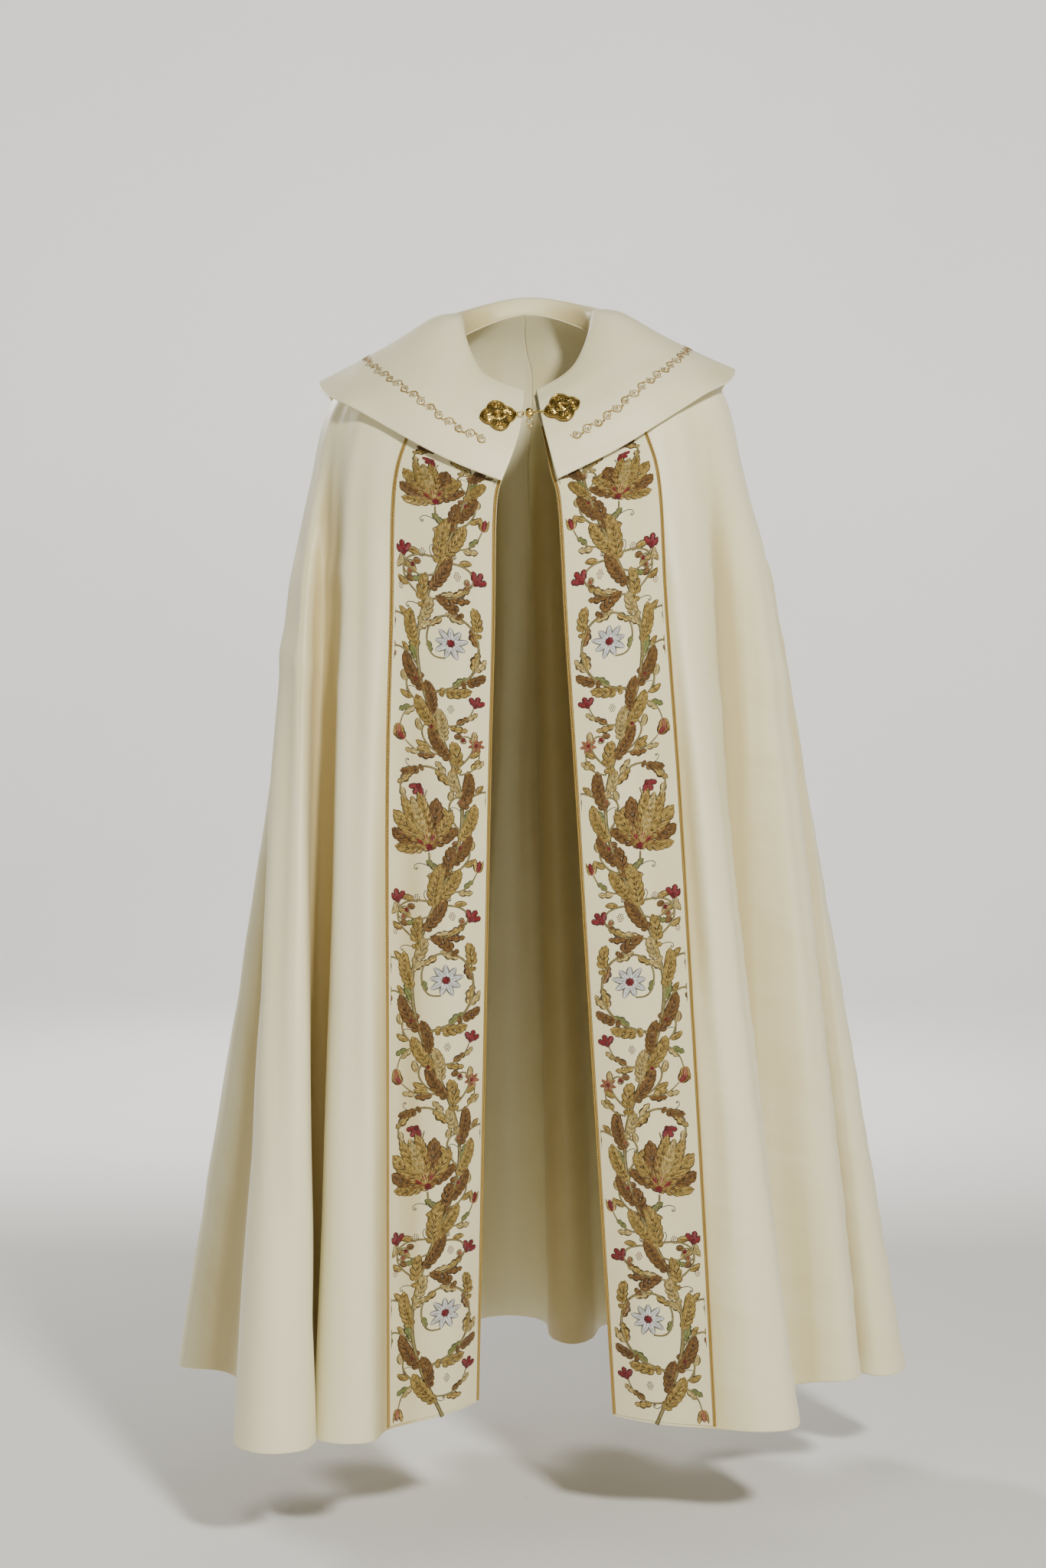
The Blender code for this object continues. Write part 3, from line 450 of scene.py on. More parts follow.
class Bunch:
    # grids gathered into one piece: points, quads, uv pairs and a material number for each face
    def __init__(self, mapNames):
        self.points, self.quads, self.kinds = [], [], []
        self.maps = {name: [] for name in mapNames}
        self.count = 0

    def grid(self, points, maps, kind=0, wrap=False, flip=False):
        rows, columns = points.shape[:2]
        quads = gridQuads(rows, columns, wrap)
        self.quads.append((quads[:, ::-1] if flip else quads) + self.count)
        self.points.append(points.reshape(-1, 3))
        self.kinds.append(np.full(len(quads), kind))
        for name, pairs in maps.items():
            self.maps[name].append(np.broadcast_to(pairs, (*points.shape[:2], 2)).reshape(-1, 2))
        self.count += rows * columns

    def tube(self, path, facing, radius, sides, closed=False):
        if closed:
            path = np.concatenate([path, path[:1]])
            grid = tubeGrid(path[:-1], facing, radius, sides, True)
            grid = np.concatenate([grid, grid[:1]])
        else:
            grid = tubeGrid(path, facing, radius, sides, False)
            ends = [np.repeat(grid[k].mean(axis=0)[None, None], sides, axis=1) for k in (0, -1)]
            grid = np.concatenate([ends[0], grid, ends[1]])
        along = runAlong(grid.mean(axis=1)[:, None], 0)
        around = np.linspace(0, 1, sides, endpoint=False)[None]
        pairs = np.stack(np.broadcast_arrays(around, along), axis=-1)
        maps = {name: pairs if name == "cloth" else (0.9, 0.5) for name in self.maps}
        self.grid(grid, maps, kind=0, wrap=True, flip=True)

    def finish(self, name, materials):
        maps = {key: np.concatenate(pairs) for key, pairs in self.maps.items()}
        points, quads, kinds = (np.concatenate(parts) for parts in (self.points, self.quads, self.kinds))
        return addPiece(name, points, quads, materials, maps, kinds)


def smoothThrough(knots, points, places):
    # natural cubic spline: the bends at the knots solve a three-band system, and each stretch is
    # the cubic that has them at its ends
    knots, points, places = (np.asarray(values, float) for values in (knots, points, places))
    flat = points.reshape(len(knots), -1)
    step = np.diff(knots)
    system = np.eye(len(knots))
    inner = np.arange(1, len(knots) - 1)
    system[inner, inner - 1] = step[:-1]
    system[inner, inner] = 2 * (step[:-1] + step[1:])
    system[inner, inner + 1] = step[1:]
    target = np.zeros_like(flat)
    target[1:-1] = 6 * np.diff(np.diff(flat, axis=0) / step[:, None], axis=0)
    bend = np.linalg.solve(system, target)
    k = np.clip(np.searchsorted(knots, places, side="right") - 1, 0, len(knots) - 2)
    after = ((places - knots[k]) / step[k])[:, None]
    before = 1 - after
    curl = (before ** 3 - before) * bend[k] + (after ** 3 - after) * bend[k + 1]
    smooth = before * flat[k] + after * flat[k + 1] + curl * (step[k] ** 2)[:, None] / 6
    return smooth.reshape(len(places), *points.shape[1:])


def readGrid(grid, rowKnots, columnKnots, rowAt, columnAt):
    # a grid read between its rows and columns, straight from knot to knot
    i = np.clip(np.searchsorted(rowKnots, rowAt, side="right") - 1, 0, len(rowKnots) - 2)
    j = np.clip(np.searchsorted(columnKnots, columnAt, side="right") - 1, 0, len(columnKnots) - 2)
    u = ((rowAt - rowKnots[i]) / (rowKnots[i + 1] - rowKnots[i]))[..., None]
    v = ((columnAt - columnKnots[j]) / (columnKnots[j + 1] - columnKnots[j]))[..., None]
    upper = (1 - v) * grid[i, j] + v * grid[i, j + 1]
    lower = (1 - v) * grid[i + 1, j] + v * grid[i + 1, j + 1]
    return (1 - u) * upper + u * lower


# the cloak's cut, the same as the solids': bearings are in degrees, 0 at the front and 90 on the left

cloakCut = {
    "hemZ": -1.360, "hemDown": 1.490, "thickness": 0.0020, "ovalPower": 2.4, "shoulderTilt": 0.030,
    "bandWidth": 0.132, "piping": 0.0045, "seamGap": 0.0003,
    # down, side, front, back, sideZ, frontZ, backZ
    "yoke": [
        (0.000, 0.078, 0.100, 0.068, 0.000, -0.085, 0.030),
        (0.042, 0.118, 0.125, 0.090, -0.004, -0.111, 0.010),
        (0.105, 0.177, 0.147, 0.115, -0.023, -0.140, -0.020),
        (0.150, 0.217, 0.158, 0.132, -0.044, -0.165, -0.055),
        (0.195, 0.245, 0.164, 0.143, -0.080, -0.187, -0.100),
        (0.280, 0.267, 0.170, 0.152, -0.160, -0.215, -0.160),
    ],
    "fall": (0.10, 0.24, 0.50, 0.75, 1.0),
    "bulge": (0.70, 1.0, 0.70, 0.35, 0.0),
    # neck bearing, ring bearing, x, y, rise
    "leftFront": [
        (5, 12, -0.061, -0.132, 0.020), (28, 28, -0.113, -0.170, 0.010), (46, 46, -0.173, -0.192, 0.0),
    ],
    "rightFront": [
        (314, 314, 0.239, -0.187, 0.0), (332, 332, 0.174, -0.184, 0.004), (355, 348, 0.107, -0.162, 0.010),
    ],
    # x, y, roll, facing, ring bearing, then the dip's x, y, roll and ring bearing, rise, bulge
    "folds": [
        (-0.2180, -0.209, 0.045, 28, 58, -0.262, -0.108, 0.014, 70, 0.000, 0.000),
        (-0.3060, -0.245, 0.051, 12, 80, -0.333, -0.030, 0.018, 90, 0.000, 0.018),
        (-0.4040, 0.088, 0.057, 55, 100, -0.372, 0.168, 0.016, 111, 0.015, 0.004),
        (-0.3370, 0.262, 0.050, 140, 122, -0.248, 0.205, 0.016, 134, 0.010, 0.000),
        (-0.1820, 0.306, 0.046, 168, 147, -0.104, 0.222, 0.017, 160, 0.006, 0.000),
        (-0.0250, 0.322, 0.053, 180, 175, 0.062, 0.232, 0.016, 189, 0.008, 0.000),
        (0.1500, 0.304, 0.047, 192, 203, 0.228, 0.208, 0.018, 216, 0.006, 0.000),
        (0.3180, 0.272, 0.052, 218, 229, 0.384, 0.188, 0.016, 243, 0.008, 0.000),
        (0.4580, 0.160, 0.052, 285, 256, 0.392, 0.122, 0.014, 268, -0.010, 0.028),
        (0.3930, 0.050, 0.045, 315, 282, 0.308, -0.034, 0.018, 296, 0.008, 0.020),
        (0.2930, -0.153, 0.049, 310, 308, 0.0, 0.0, 0.0, 0, 0.000, 0.000),
    ],
    # each roll and each dip has three lines: degrees round it, degrees round the ring, and its swell
    "rollLines": (66.0, 4.0, 0.003), "dipLines": (62.0, 2.2, -0.003),
    "seamLines": (11.5, 23.5, 35.5, 47.5, 53.5),
    "columnsPerLine": 5,
}


def compass(degrees):
    turn = np.radians(degrees)
    return np.stack([-np.sin(turn), -np.cos(turn), 0 * turn], axis=-1)


def ovalRing(ring, degrees, swell=0.0):
    # a superellipse in plan whose height falls from its sides to its front and back
    side, front, back, sideZ, frontZ, backZ = ring
    turn = np.radians(degrees)
    across, along = np.abs(np.sin(turn)), np.cos(turn)
    end, endZ = np.where(along > 0, front, back), np.where(along > 0, frontZ, backZ)
    power = cloakCut["ovalPower"]
    reach = ((across / side) ** power + (np.abs(along) / end) ** power) ** (-1 / power)
    points = (reach + swell)[..., None] * compass(degrees)
    points[..., 2] = sideZ * across ** 2 + endZ * along ** 2
    return points


def straightLines(rows):
    # the flat lines beside a front edge
    return [((x, y, cloakCut["hemZ"] + rise), neck, ring, 0.0, 0.0) for neck, ring, x, y, rise in rows]


def cloakLines():
    # one row a line of the fall: hem point, neck bearing, ring bearing, swell, bulge
    hemZ, lines = cloakCut["hemZ"], []
    rollTurn, rollStep, rollSwell = cloakCut["rollLines"]
    dipTurn, dipStep, dipSwell = cloakCut["dipLines"]
    folds = np.array(cloakCut["folds"])
    for number, (x, y, roll, facing, ringDeg, dipX, dipY, dipRoll, dipDeg, rise, bulge) in enumerate(folds):
        for side in (-1, 0, 1):
            hem = np.array([x, y, hemZ + rise]) + roll * compass(facing + side * rollTurn)
            bearing = ringDeg + side * rollStep
            lines.append((hem, bearing, bearing, rollSwell, bulge))
        if number == len(folds) - 1:
            break
        after = folds[number + 1]
        low = np.array([dipX, dipY, hemZ + (rise + after[9]) / 2])
        inward = low[:2] - (folds[number, :2] + after[:2]) / 2
        inwardDeg = math.degrees(math.atan2(-inward[0], -inward[1]))
        for side in (-1, 0, 1):
            hem = low + dipRoll * compass(inwardDeg - side * dipTurn)
            bearing = dipDeg + side * dipStep
            lines.append((hem, bearing, bearing, dipSwell, (bulge + after[10]) / 4))
    return straightLines(cloakCut["leftFront"]) + lines + straightLines(cloakCut["rightFront"])


def cloakNet():
    # knots down the cloth, and for each of them the points of every line
    yoke = cloakCut["yoke"]
    lines = cloakLines()
    hem = np.array([line[0] for line in lines])
    neckDeg, ringDeg, swell, bulge = (np.array([line[k] for line in lines], float) for k in (1, 2, 3, 4))
    ringDown = yoke[-1][0]
    knots = [ring[0] for ring in yoke]
    knots += [ringDown + (cloakCut["hemDown"] - ringDown) * share for share in cloakCut["fall"]]
    net = []
    for down, *ring in yoke:
        share = down / ringDown
        points = ovalRing(ring, neckDeg + (ringDeg - neckDeg) * share, swell * share)
        points[:, 2] += cloakCut["shoulderTilt"] * points[:, 0]
        net.append(points)
    top = net[-1]
    for share, pushed in zip(cloakCut["fall"], cloakCut["bulge"]):
        net.append(top + (hem - top) * share + (bulge * pushed)[:, None] * compass(ringDeg))
    return np.array(knots), np.array(net)


def throughRing(row, places):
    # a ring read at places that count its lines, with the chords between them as knots
    knots = pathRun(row)
    return smoothThrough(knots, row, np.interp(places, np.arange(len(knots)), knots))


def cloakGrid(downs, bandAt, middle):
    # every ring of the cloak, with columns at these distances from both front edges and at these lines
    knots, net = cloakNet()
    rings = smoothThrough(knots, net, downs)
    last = rings.shape[1] - 1
    low, high = len(cloakCut["leftFront"]) - 1, last + 1 - len(cloakCut["rightFront"])
    fine = np.linspace(0, last, 1500)
    grid = []
    for row in rings:
        run = runAlong(throughRing(row, fine)[:, None], 0)[:, 0]
        left, right = np.interp(bandAt, run, fine), np.interp(run[-1] - bandAt, run, fine)
        moved = left[-1] + (middle - low) * (right[-1] - left[-1]) / (high - low)
        grid.append(throughRing(row, np.concatenate([left, moved, right[::-1]])))
    return np.array(grid)


# creases that fall down the cloth: line at the top and at the bottom, from and to as distances down, half
# width and height in metres, where a valley's height is below zero
creases = {
    "falls": [
        (2.6, 2.9, 0.26, 1.20, 0.016, 0.0026), (3.4, 3.1, 0.34, 1.42, 0.012, -0.0022),
        (4.6, 4.2, 0.24, 0.95, 0.013, 0.0020), (5.3, 5.6, 0.40, 1.45, 0.010, -0.0016),
        (8.6, 9.0, 0.28, 1.30, 0.013, 0.0026), (9.8, 9.5, 0.50, 1.46, 0.011, -0.0018),
        (10.7, 10.4, 0.30, 1.10, 0.012, 0.0022), (14.8, 15.2, 0.22, 1.25, 0.016, 0.0026),
        (16.4, 16.0, 0.36, 1.40, 0.012, -0.0020), (20.6, 21.0, 0.40, 1.44, 0.015, 0.0024),
        (22.3, 22.0, 0.50, 1.30, 0.012, -0.0020), (26.8, 27.2, 0.48, 1.42, 0.014, 0.0022),
        (28.6, 28.2, 0.60, 1.46, 0.011, -0.0018), (33.2, 32.9, 0.52, 1.40, 0.015, 0.0024),
        (34.5, 34.9, 0.50, 1.22, 0.012, -0.0020), (39.0, 39.4, 0.50, 1.44, 0.014, 0.0024),
        (40.6, 40.2, 0.62, 1.36, 0.012, -0.0018), (45.2, 44.9, 0.44, 1.42, 0.015, 0.0026),
        (46.8, 47.1, 0.40, 1.24, 0.012, -0.0020), (50.6, 50.9, 0.30, 1.40, 0.014, 0.0024),
        (52.2, 52.6, 0.34, 1.20, 0.011, -0.0018), (56.8, 57.1, 0.30, 1.44, 0.014, 0.0026),
        (58.4, 58.0, 0.40, 1.30, 0.012, -0.0022), (62.5, 62.9, 0.26, 1.38, 0.015, 0.0028),
        (63.8, 63.4, 0.50, 1.46, 0.011, -0.0020), (64.9, 65.2, 0.30, 1.10, 0.013, 0.0022),
        (65.7, 65.4, 0.42, 1.32, 0.011, -0.0018),
    ],
    # slack that is pulled aslant: line, down, slope, half length, half width, height
    "slack": [
        (4.2, 0.40, 0.35, 0.10, 0.020, 0.0026), (10.2, 0.52, -0.25, 0.12, 0.022, 0.0030),
        (16.0, 0.46, 0.30, 0.12, 0.024, 0.0028), (34.0, 0.62, 0.20, 0.16, 0.026, 0.0024),
        (52.0, 0.44, -0.30, 0.12, 0.024, 0.0030), (58.0, 0.56, 0.28, 0.11, 0.020, 0.0026),
        (64.4, 0.42, -0.30, 0.10, 0.020, 0.0026),
    ],
    "ripple": 0.0007, "rippleFrom": 0.24, "rippleFull": 0.25,
    "depth": 2.1, "wander": 0.004,
    # near the front edges the cloth is stiffer: this far in, in lines, and the least share there
    "stiffLines": 1.6, "stiffOver": 0.8, "stiffLeast": 0.25,
}


def creased(points, lineAt, downs):
    # bell-shaped ridges along chosen lines, and a slow ripple of three sines over the rest
    normals = gridNormals(points)
    run = runAlong(points, 1)
    down = downs[:, None]
    height = np.zeros(points.shape[:2])
    for top, bottom, start, end, width, rise in creases["falls"]:
        rise *= creases["depth"]
        share = np.clip((downs - start) / (end - start), 0, 1)
        wander = creases["wander"] * np.sin(9 * downs + 5 * top)
        centre = np.array([np.interp(top + (bottom - top) * t, lineAt, row) for t, row in zip(share, run)])
        centre = centre + wander
        window = np.sin(np.pi * np.clip((down - start) / (end - start), 0, 1)) ** 0.7
        height += rise * window * np.exp(-((run - centre[:, None]) / width) ** 2)
    for line, at, slope, halfLength, width, rise in creases["slack"]:
        aside = run - np.array([np.interp(line, lineAt, row) for row in run])[:, None]
        off = (down - at) - slope * aside
        height += rise * np.exp(-(off / width) ** 2 - (aside / halfLength) ** 2)
    ripple = np.sin(run * 41 + 2.1 * np.sin(down * 5.3)) + np.sin(run * 23 - down * 6.1 + 1.7)
    ripple += 0.7 * np.sin(run * 67 + down * 9.7 + 0.6)
    fading = np.clip((down - creases["rippleFrom"]) / creases["rippleFull"], 0, 1)
    height += creases["ripple"] / 2 * ripple * fading
    stiff, over, least = creases["stiffLines"], creases["stiffOver"], creases["stiffLeast"]
    fromLeft = np.clip((lineAt - stiff) / over, least, 1)
    fromRight = np.clip((lineAt[-1] - stiff - lineAt) / over, least, 1)
    return points + (height * np.minimum(fromLeft, fromRight))[..., None] * normals


# the columns of the bands, of the cloth between them with extra ones beside each seam, and the rows
bandAt = np.concatenate([[0, 0.0005, 0.0013, 0.0028], np.linspace(cloakCut["piping"], 0.1275, 22), [0.132]])
perLine = cloakCut["columnsPerLine"]
seamLines = np.array(cloakCut["seamLines"])
lineCount = len(cloakLines())
middle = np.linspace(2, lineCount - 3, (lineCount - 5) * perLine + 1)[1:-1]
nearSeam = np.array([-0.04, -0.015, 0.0, 0.015, 0.04])
middle = np.unique(np.concatenate([middle, (seamLines[:, None] + nearSeam).ravel()]))
downs = np.concatenate([
    [0, 0.001], np.linspace(0.006, 0.28, 46), np.linspace(0.28, 1.484, 132)[1:],
    [1.4875, 1.4892, cloakCut["hemDown"]],
])
bandLines = 2 * bandAt / cloakCut["bandWidth"]
lineAt = np.concatenate([bandLines, middle, lineCount - 1 - bandLines[::-1]])
cloak = creased(cloakGrid(downs, bandAt, middle), lineAt, downs)
cloakOut = gridNormals(cloak)
seamColumns = [int(np.argmin(np.abs(lineAt - line))) for line in seamLines]
cloakUv = np.stack([runAlong(cloak, 1), np.broadcast_to(downs[:, None], cloak.shape[:2])], axis=-1)
print("cope: cloak", cloak.shape[:2], "hem", round(float(runAlong(cloak, 1)[-1, -1]), 3))



def gridArea(points):
    corner = points[:-1, :-1]
    return float(np.linalg.norm(np.cross(points[1:, :-1] - corner, points[:-1, 1:] - corner), axis=-1).sum())


# six panels, each drawn back by half the gap at its seams
# painted shade in the fold hollows and painted highlight on the ridges, measured over the whole cloak
cloakFoldShading = paintFoldShading(cloak, cloakOut)
panelNames = ("front_left", "side_left", "back_left", "back_right", "side_right", "front_right")
panelEdges = [0, *seamColumns, len(lineAt) - 1]
panels = {}
for name, first, last in zip(panelNames, panelEdges, panelEdges[1:]):
    span = slice(first, last + 1)
    face = cloak[:, span].copy()
    if first:
        face[:, 0] += unit(cloak[:, first + 1] - cloak[:, first]) * (cloakCut["seamGap"] / 2)
    if last < len(lineAt) - 1:
        face[:, -1] -= unit(cloak[:, last] - cloak[:, last - 1]) * (cloakCut["seamGap"] / 2)
    panel = clothWall(
        name + "_cloth", face, cloakOut[:, span], cloakCut["thickness"], cream, cloakUv[:, span],
        cloakFoldShading[:, span],
    )
    finishPiece(panel, name)
    area = gridArea(face)
    print("cope: panel", name, "area", round(area, 3))
    panels[name] = (panel, area)


# the bands and their cords, made from the cloak's own points, moved out

bandCut = {
    "thickness": 0.0012, "gap": 0.0003, "topDown": 0.073, "cordRadius": 0.00092, "cordApart": 0.0021,
    # columns near both edges and between them, counted from the front edge, and the rows at the hem
    "inner": (0.0045, 0.0049, 0.0054), "between": (0.0065, 0.1255, 26), "outer": (0.1266, 0.1271, 0.1275),
    "lastRows": (1.4850, 1.4857, 1.4862),
}
bandColumns = len(bandAt)
bandRows = np.searchsorted(downs, bandCut["topDown"])
bandDowns = np.concatenate([downs[bandRows:-3], bandCut["lastRows"]])
surface = bandCut["gap"] + bandCut["thickness"]


def onBand(side, across, down, height):
    # a place on a band's side of the cloak, across from the front edge and lifted off the cloth
    order = slice(0, bandColumns) if side == "left" else slice(-1, -bandColumns - 1, -1)
    place = readGrid(cloak[:, order], downs, bandAt, down, across)
    out = unit(readGrid(cloakOut[:, order], downs, bandAt, down, across))
    return place + height[..., None] * out


for side in ("left", "right"):
    across = np.concatenate([bandCut["inner"], np.linspace(*bandCut["between"]), bandCut["outer"]])
    acrossGrid, downGrid = np.meshgrid(across if side == "left" else across[::-1], bandDowns)
    outer = onBand(side, acrossGrid, downGrid, np.full(acrossGrid.shape, surface))
    uv = np.stack([acrossGrid, downGrid], axis=-1)
    piece = clothWall(f"band_{side}_cloth", outer, gridNormals(outer), bandCut["thickness"], ground, uv)
    finishPiece(piece, f"band_{side}")
    halfCord, zeros = cloakCut["piping"] / 2, np.zeros(len(bandDowns))
    for edge, middleAt in (("inner", halfCord), ("outer", cloakCut["bandWidth"] - halfCord)):
        under, over = (onBand(side, zeros + middleAt, bandDowns, zeros + lift) for lift in (0, 1))
        facing = unit(over - under)
        bunch = Bunch(["cloth"])
        for offset in (-0.5, 0.5):
            at = zeros + (middleAt + offset * bandCut["cordApart"])
            path = onBand(side, at, bandDowns, zeros + (bandCut["cordRadius"] + bandCut["gap"]))
            bunch.tube(path, facing, bandCut["cordRadius"], 10)
        finishPiece(bunch.finish(f"cord_{side}_{edge}", [goldCord]), f"piping_{side}_{edge}")
print("cope: bands and cords made")


# embroidery: flat shapes in millimetres, x out from the band's middle and y up it, then laid on the cloth

def smoothPath(knots, steps=None):
    # a smooth path through these points, in steps of about 2 mm if no number is given
    knots = np.asarray(knots, float)
    run = pathRun(knots)
    return smoothThrough(run, knots, np.linspace(0, run[-1], steps or int(run[-1] / 2.2) + 8))


def headed(angle):
    # unit steps in these directions, counted from the y axis towards x
    return np.stack([np.sin(angle), np.cos(angle)], axis=-1)


class Sewing:
    # a list of shapes: thread, points, heights and the two pairs of map values
    def __init__(self):
        self.shapes = []

    def add(self, kind, points, height, side, lobe, across, along):
        self.shapes.append((threadNames.index(kind), points, height, side, lobe, across, along))

    def leaf(self, kind, x, y, heading, length, half, bend, lobes, lift, notch, steps=None, rows=7):
        # a rib that turns steadily, with a width that swells and falls, notched into forward lobes
        t = np.linspace(0, 1, steps or max(10, lobes * 6 + 3))[:, None]
        s = np.linspace(-1, 1, rows)[None]
        ahead = headed(np.radians(heading + bend * t)[:, 0])
        pace = (ahead[1:] + ahead[:-1]) / 2 * np.diff(t, axis=0) * length
        rib = np.concatenate([np.zeros((1, 2)), np.cumsum(pace, axis=0)])
        aside = np.stack([ahead[:, 1], -ahead[:, 0]], axis=1)
        saw = (t * lobes) % 1.0
        notched = 1 - notch * (1 - np.sin(np.pi * saw ** 0.7)) if lobes else np.ones_like(t)
        width = half * np.sin(np.pi * np.clip(t, 0, 1) ** 0.72) ** 0.75 * notched + 0.12
        lead = 0.42 * half * np.abs(s) ** 1.4 * np.sin(np.pi * t) ** 0.6
        flat = rib[:, None] + aside[:, None] * (s * width)[..., None] + ahead[:, None] * lead[..., None]
        flat += np.array([x, y])
        dome = lift * (1 - s ** 2) ** 0.55 * (0.35 + 0.65 * np.sin(np.pi * t) ** 0.5)
        dome = dome - 0.25 * np.exp(-(s / 0.16) ** 2) * lift
        self.add(kind, flat, dome, s + 0 * t, lobes * t + 0 * s, s * width, t * length + 0 * s)

    def ribbon(self, kind, path, wide, narrow, lift):
        # a rounded band of stitches along a path
        ahead = unit(np.gradient(path, axis=0))
        aside = np.stack([ahead[:, 1], -ahead[:, 0]], axis=1)
        t = np.linspace(0, 1, len(path))[:, None]
        s = np.linspace(-1, 1, 5)[None]
        width = (wide + (narrow - wide) * t) / 2
        flat = path[:, None] + aside[:, None] * (s * width)[..., None]
        run = pathRun(path)[:, None] + 0 * s
        dome = lift * np.sqrt(1 - s ** 2) * np.ones_like(t)
        self.add(kind, flat, dome, s + 0 * t, 0.5 + 0 * dome, s * width, run)

    def tendril(self, x, y, heading, length, hand):
        # a thread that bends harder the further it runs, so that it ends in a coil
        wide = 1.4
        t = np.linspace(0, 1, 40)
        angle = np.radians(heading) + hand * (0.9 * t + 9.5 * t ** 3.2)
        pace = length / len(t) * (1.25 - 0.75 * t)
        path = np.array([x, y]) + np.cumsum(pace[:, None] * headed(angle), axis=0)
        self.ribbon("dark", path, wide, 0.7 * wide, 0.5)

    def plume(self, kind, x, y, heading, length, half, bend, pairs):
        # an acanthus leaf: a rib that turns steadily, with pairs of fingers that curve forwards from it
        ahead = headed(np.radians(heading + bend * np.linspace(0, 1, 25)))
        steps = np.cumsum((ahead[1:] + ahead[:-1]) / 2 * length / 24, axis=0)
        rib = np.array([x, y]) + np.concatenate([[[0, 0]], steps])
        for k in range(pairs):
            at = 0.08 + 0.74 * k / (pairs - 1)
            place = rib[int(at * 24)]
            now = heading + bend * at
            reach = 1.30 * half * math.sin(math.pi * (0.16 + 0.80 * at) ** 1.15) ** 0.8
            wide = 0.46 * length / pairs
            slim = min(wide, 0.42 * reach)
            for side in (-1, 1):
                turned = now + side * (56 - 26 * at)
                self.leaf(kind, *place, turned, reach, slim, -side * 34, 0, 1.45, 0.0, 7, 5)
        tip = heading + 0.85 * bend
        self.leaf(kind, *rib[19], tip, 0.27 * length, 0.075 * length, 0.15 * bend, 0, 1.0, 0.0, 8, 5)
        self.ribbon(kind, rib[:23:2], 1.8 + 0.03 * length, 0.9, 1.5)

    def scroll(self, x, y, heading, length, hand, eye):
        # a branch that bends harder the further it runs, with three leaves outside its bend and a berry
        # in its coil
        wide = 3.1
        t = np.linspace(0, 1, 44)
        angle = np.radians(heading) + hand * (0.9 * t + 8.2 * t ** 3.0)
        pace = length / len(t) * (1.25 - 0.70 * t)
        path = np.array([x, y]) + np.cumsum(pace[:, None] * headed(angle), axis=0)
        for k, share, tone in ((9, 0.20, "gold"), (19, 0.17, "straw"), (28, 0.12, "brown")):
            outwards = np.degrees(angle[k]) - 38 * hand
            self.leaf(tone, *path[k], outwards, share * length, 0.05 * length, 44 * hand, 0, 0.8, 0.0, 9, 5)
        self.ribbon("olive", path, wide, 0.7 * wide, 0.8)
        self.bloom(eye, *path[-1], 0.034 * length + 0.6, 5, heading, 0.25, 1.5, 4)

    def spray(self, kind, knots, wide, narrow, leaves):
        # a stem with leaves along it: share of its length, side, length, half width, tone
        path = smoothPath(knots)
        ahead = unit(np.gradient(path, axis=0))
        for share, side, length, half, tone in leaves:
            k = int(share * (len(path) - 1))
            heading = math.degrees(math.atan2(ahead[k, 0], ahead[k, 1]))
            if length < 30:
                lobes = max(2, round(length / 9))
                self.leaf(tone, *path[k], heading + 30 * side, length, half, -34 * side, lobes, 0.85, 0.42)
            else:
                pairs = 5 if length < 44 else 7
                self.plume(tone, *path[k], heading + 26 * side, length, half, -30 * side, pairs)
        self.ribbon(kind, path, wide, narrow, 0.9)

    def curl(self, kind, x, y, radius, start, turns, wide, narrow, lift, inner):
        # a spiral whose radius shrinks steadily; turns below zero wind it the other way
        t = np.linspace(0, 1, int(abs(turns) * 26) + 10)
        angle = np.radians(start) + 2 * np.pi * turns * t
        reach = radius * (1 - (1 - inner) * t)
        centre = np.array([x, y]) - radius * headed(np.radians(start))
        self.ribbon(kind, centre + reach[:, None] * headed(angle), wide, narrow, lift)

    def bloom(self, kind, x, y, radius, petals, turn, depth, lift, rings=5):
        # a round dome whose edge is drawn in between its petals
        angle = np.radians(turn) + np.linspace(0, 2 * np.pi, petals * 8 + 1)[None]
        r = np.linspace(0.02, 1, rings)[:, None]
        between = 1 - np.abs(np.cos(petals * (angle - np.radians(turn)) / 2)) ** 0.7
        reach = radius * r * (1 - depth * r * between)
        flat = np.array([x, y]) + reach[..., None] * headed(angle)
        dome = lift * (1 - r ** 2) ** 0.6 + 0 * angle
        self.add(kind, flat, dome, r ** 2 + 0 * angle, 0.5 + 0 * dome, reach, radius * angle * r)

    def dots(self, kind, x, y, rows, heading):
        # a cluster of knots in rows
        pitch, radius = 2.5, 0.95
        ahead = headed(math.radians(heading))
        aside = np.array([ahead[1], -ahead[0]])
        for row, count in enumerate(rows):
            for k in range(count):
                centre = np.array([x, y]) + ahead * row * pitch * 0.92 + aside * (k - (count - 1) / 2) * pitch
                self.bloom(kind, *centre, radius, 1, 0.0, 0.0, 0.9, 3)

    def palmette(self, x, y, heading, size):
        # a fan of lobed leaves about one point, the long ones in the middle, over a red calyx
        fan = ((-88, 0.60), (-60, 0.74), (-33, 0.86), (33, 0.86), (60, 0.74), (88, 0.60))
        for k, (angle, share) in enumerate(fan):
            tone, length = ("brown", "gold")[k % 2], size * share
            self.plume(tone, x, y, heading + angle, length, length * 0.24, -angle * 0.30, 6)
        for side in (-1, 1):
            self.plume("gold", x, y, heading + 15 * side, size * 0.98, size * 0.17, -12 * side, 7)
        self.plume("straw", x, y, heading, size * 0.90, size * 0.15, 0, 7)
        for angle in (-46, 0, 46):
            self.leaf("red", x, y, heading + angle, size * 0.30, size * 0.060, -angle * 0.3, 0, 1.5, 0.0)
        self.bloom("red", x, y, size * 0.105, 5, heading, 0.25, 1.7)

    def daisy(self, x, y, radius, petals=9, kind="silver"):
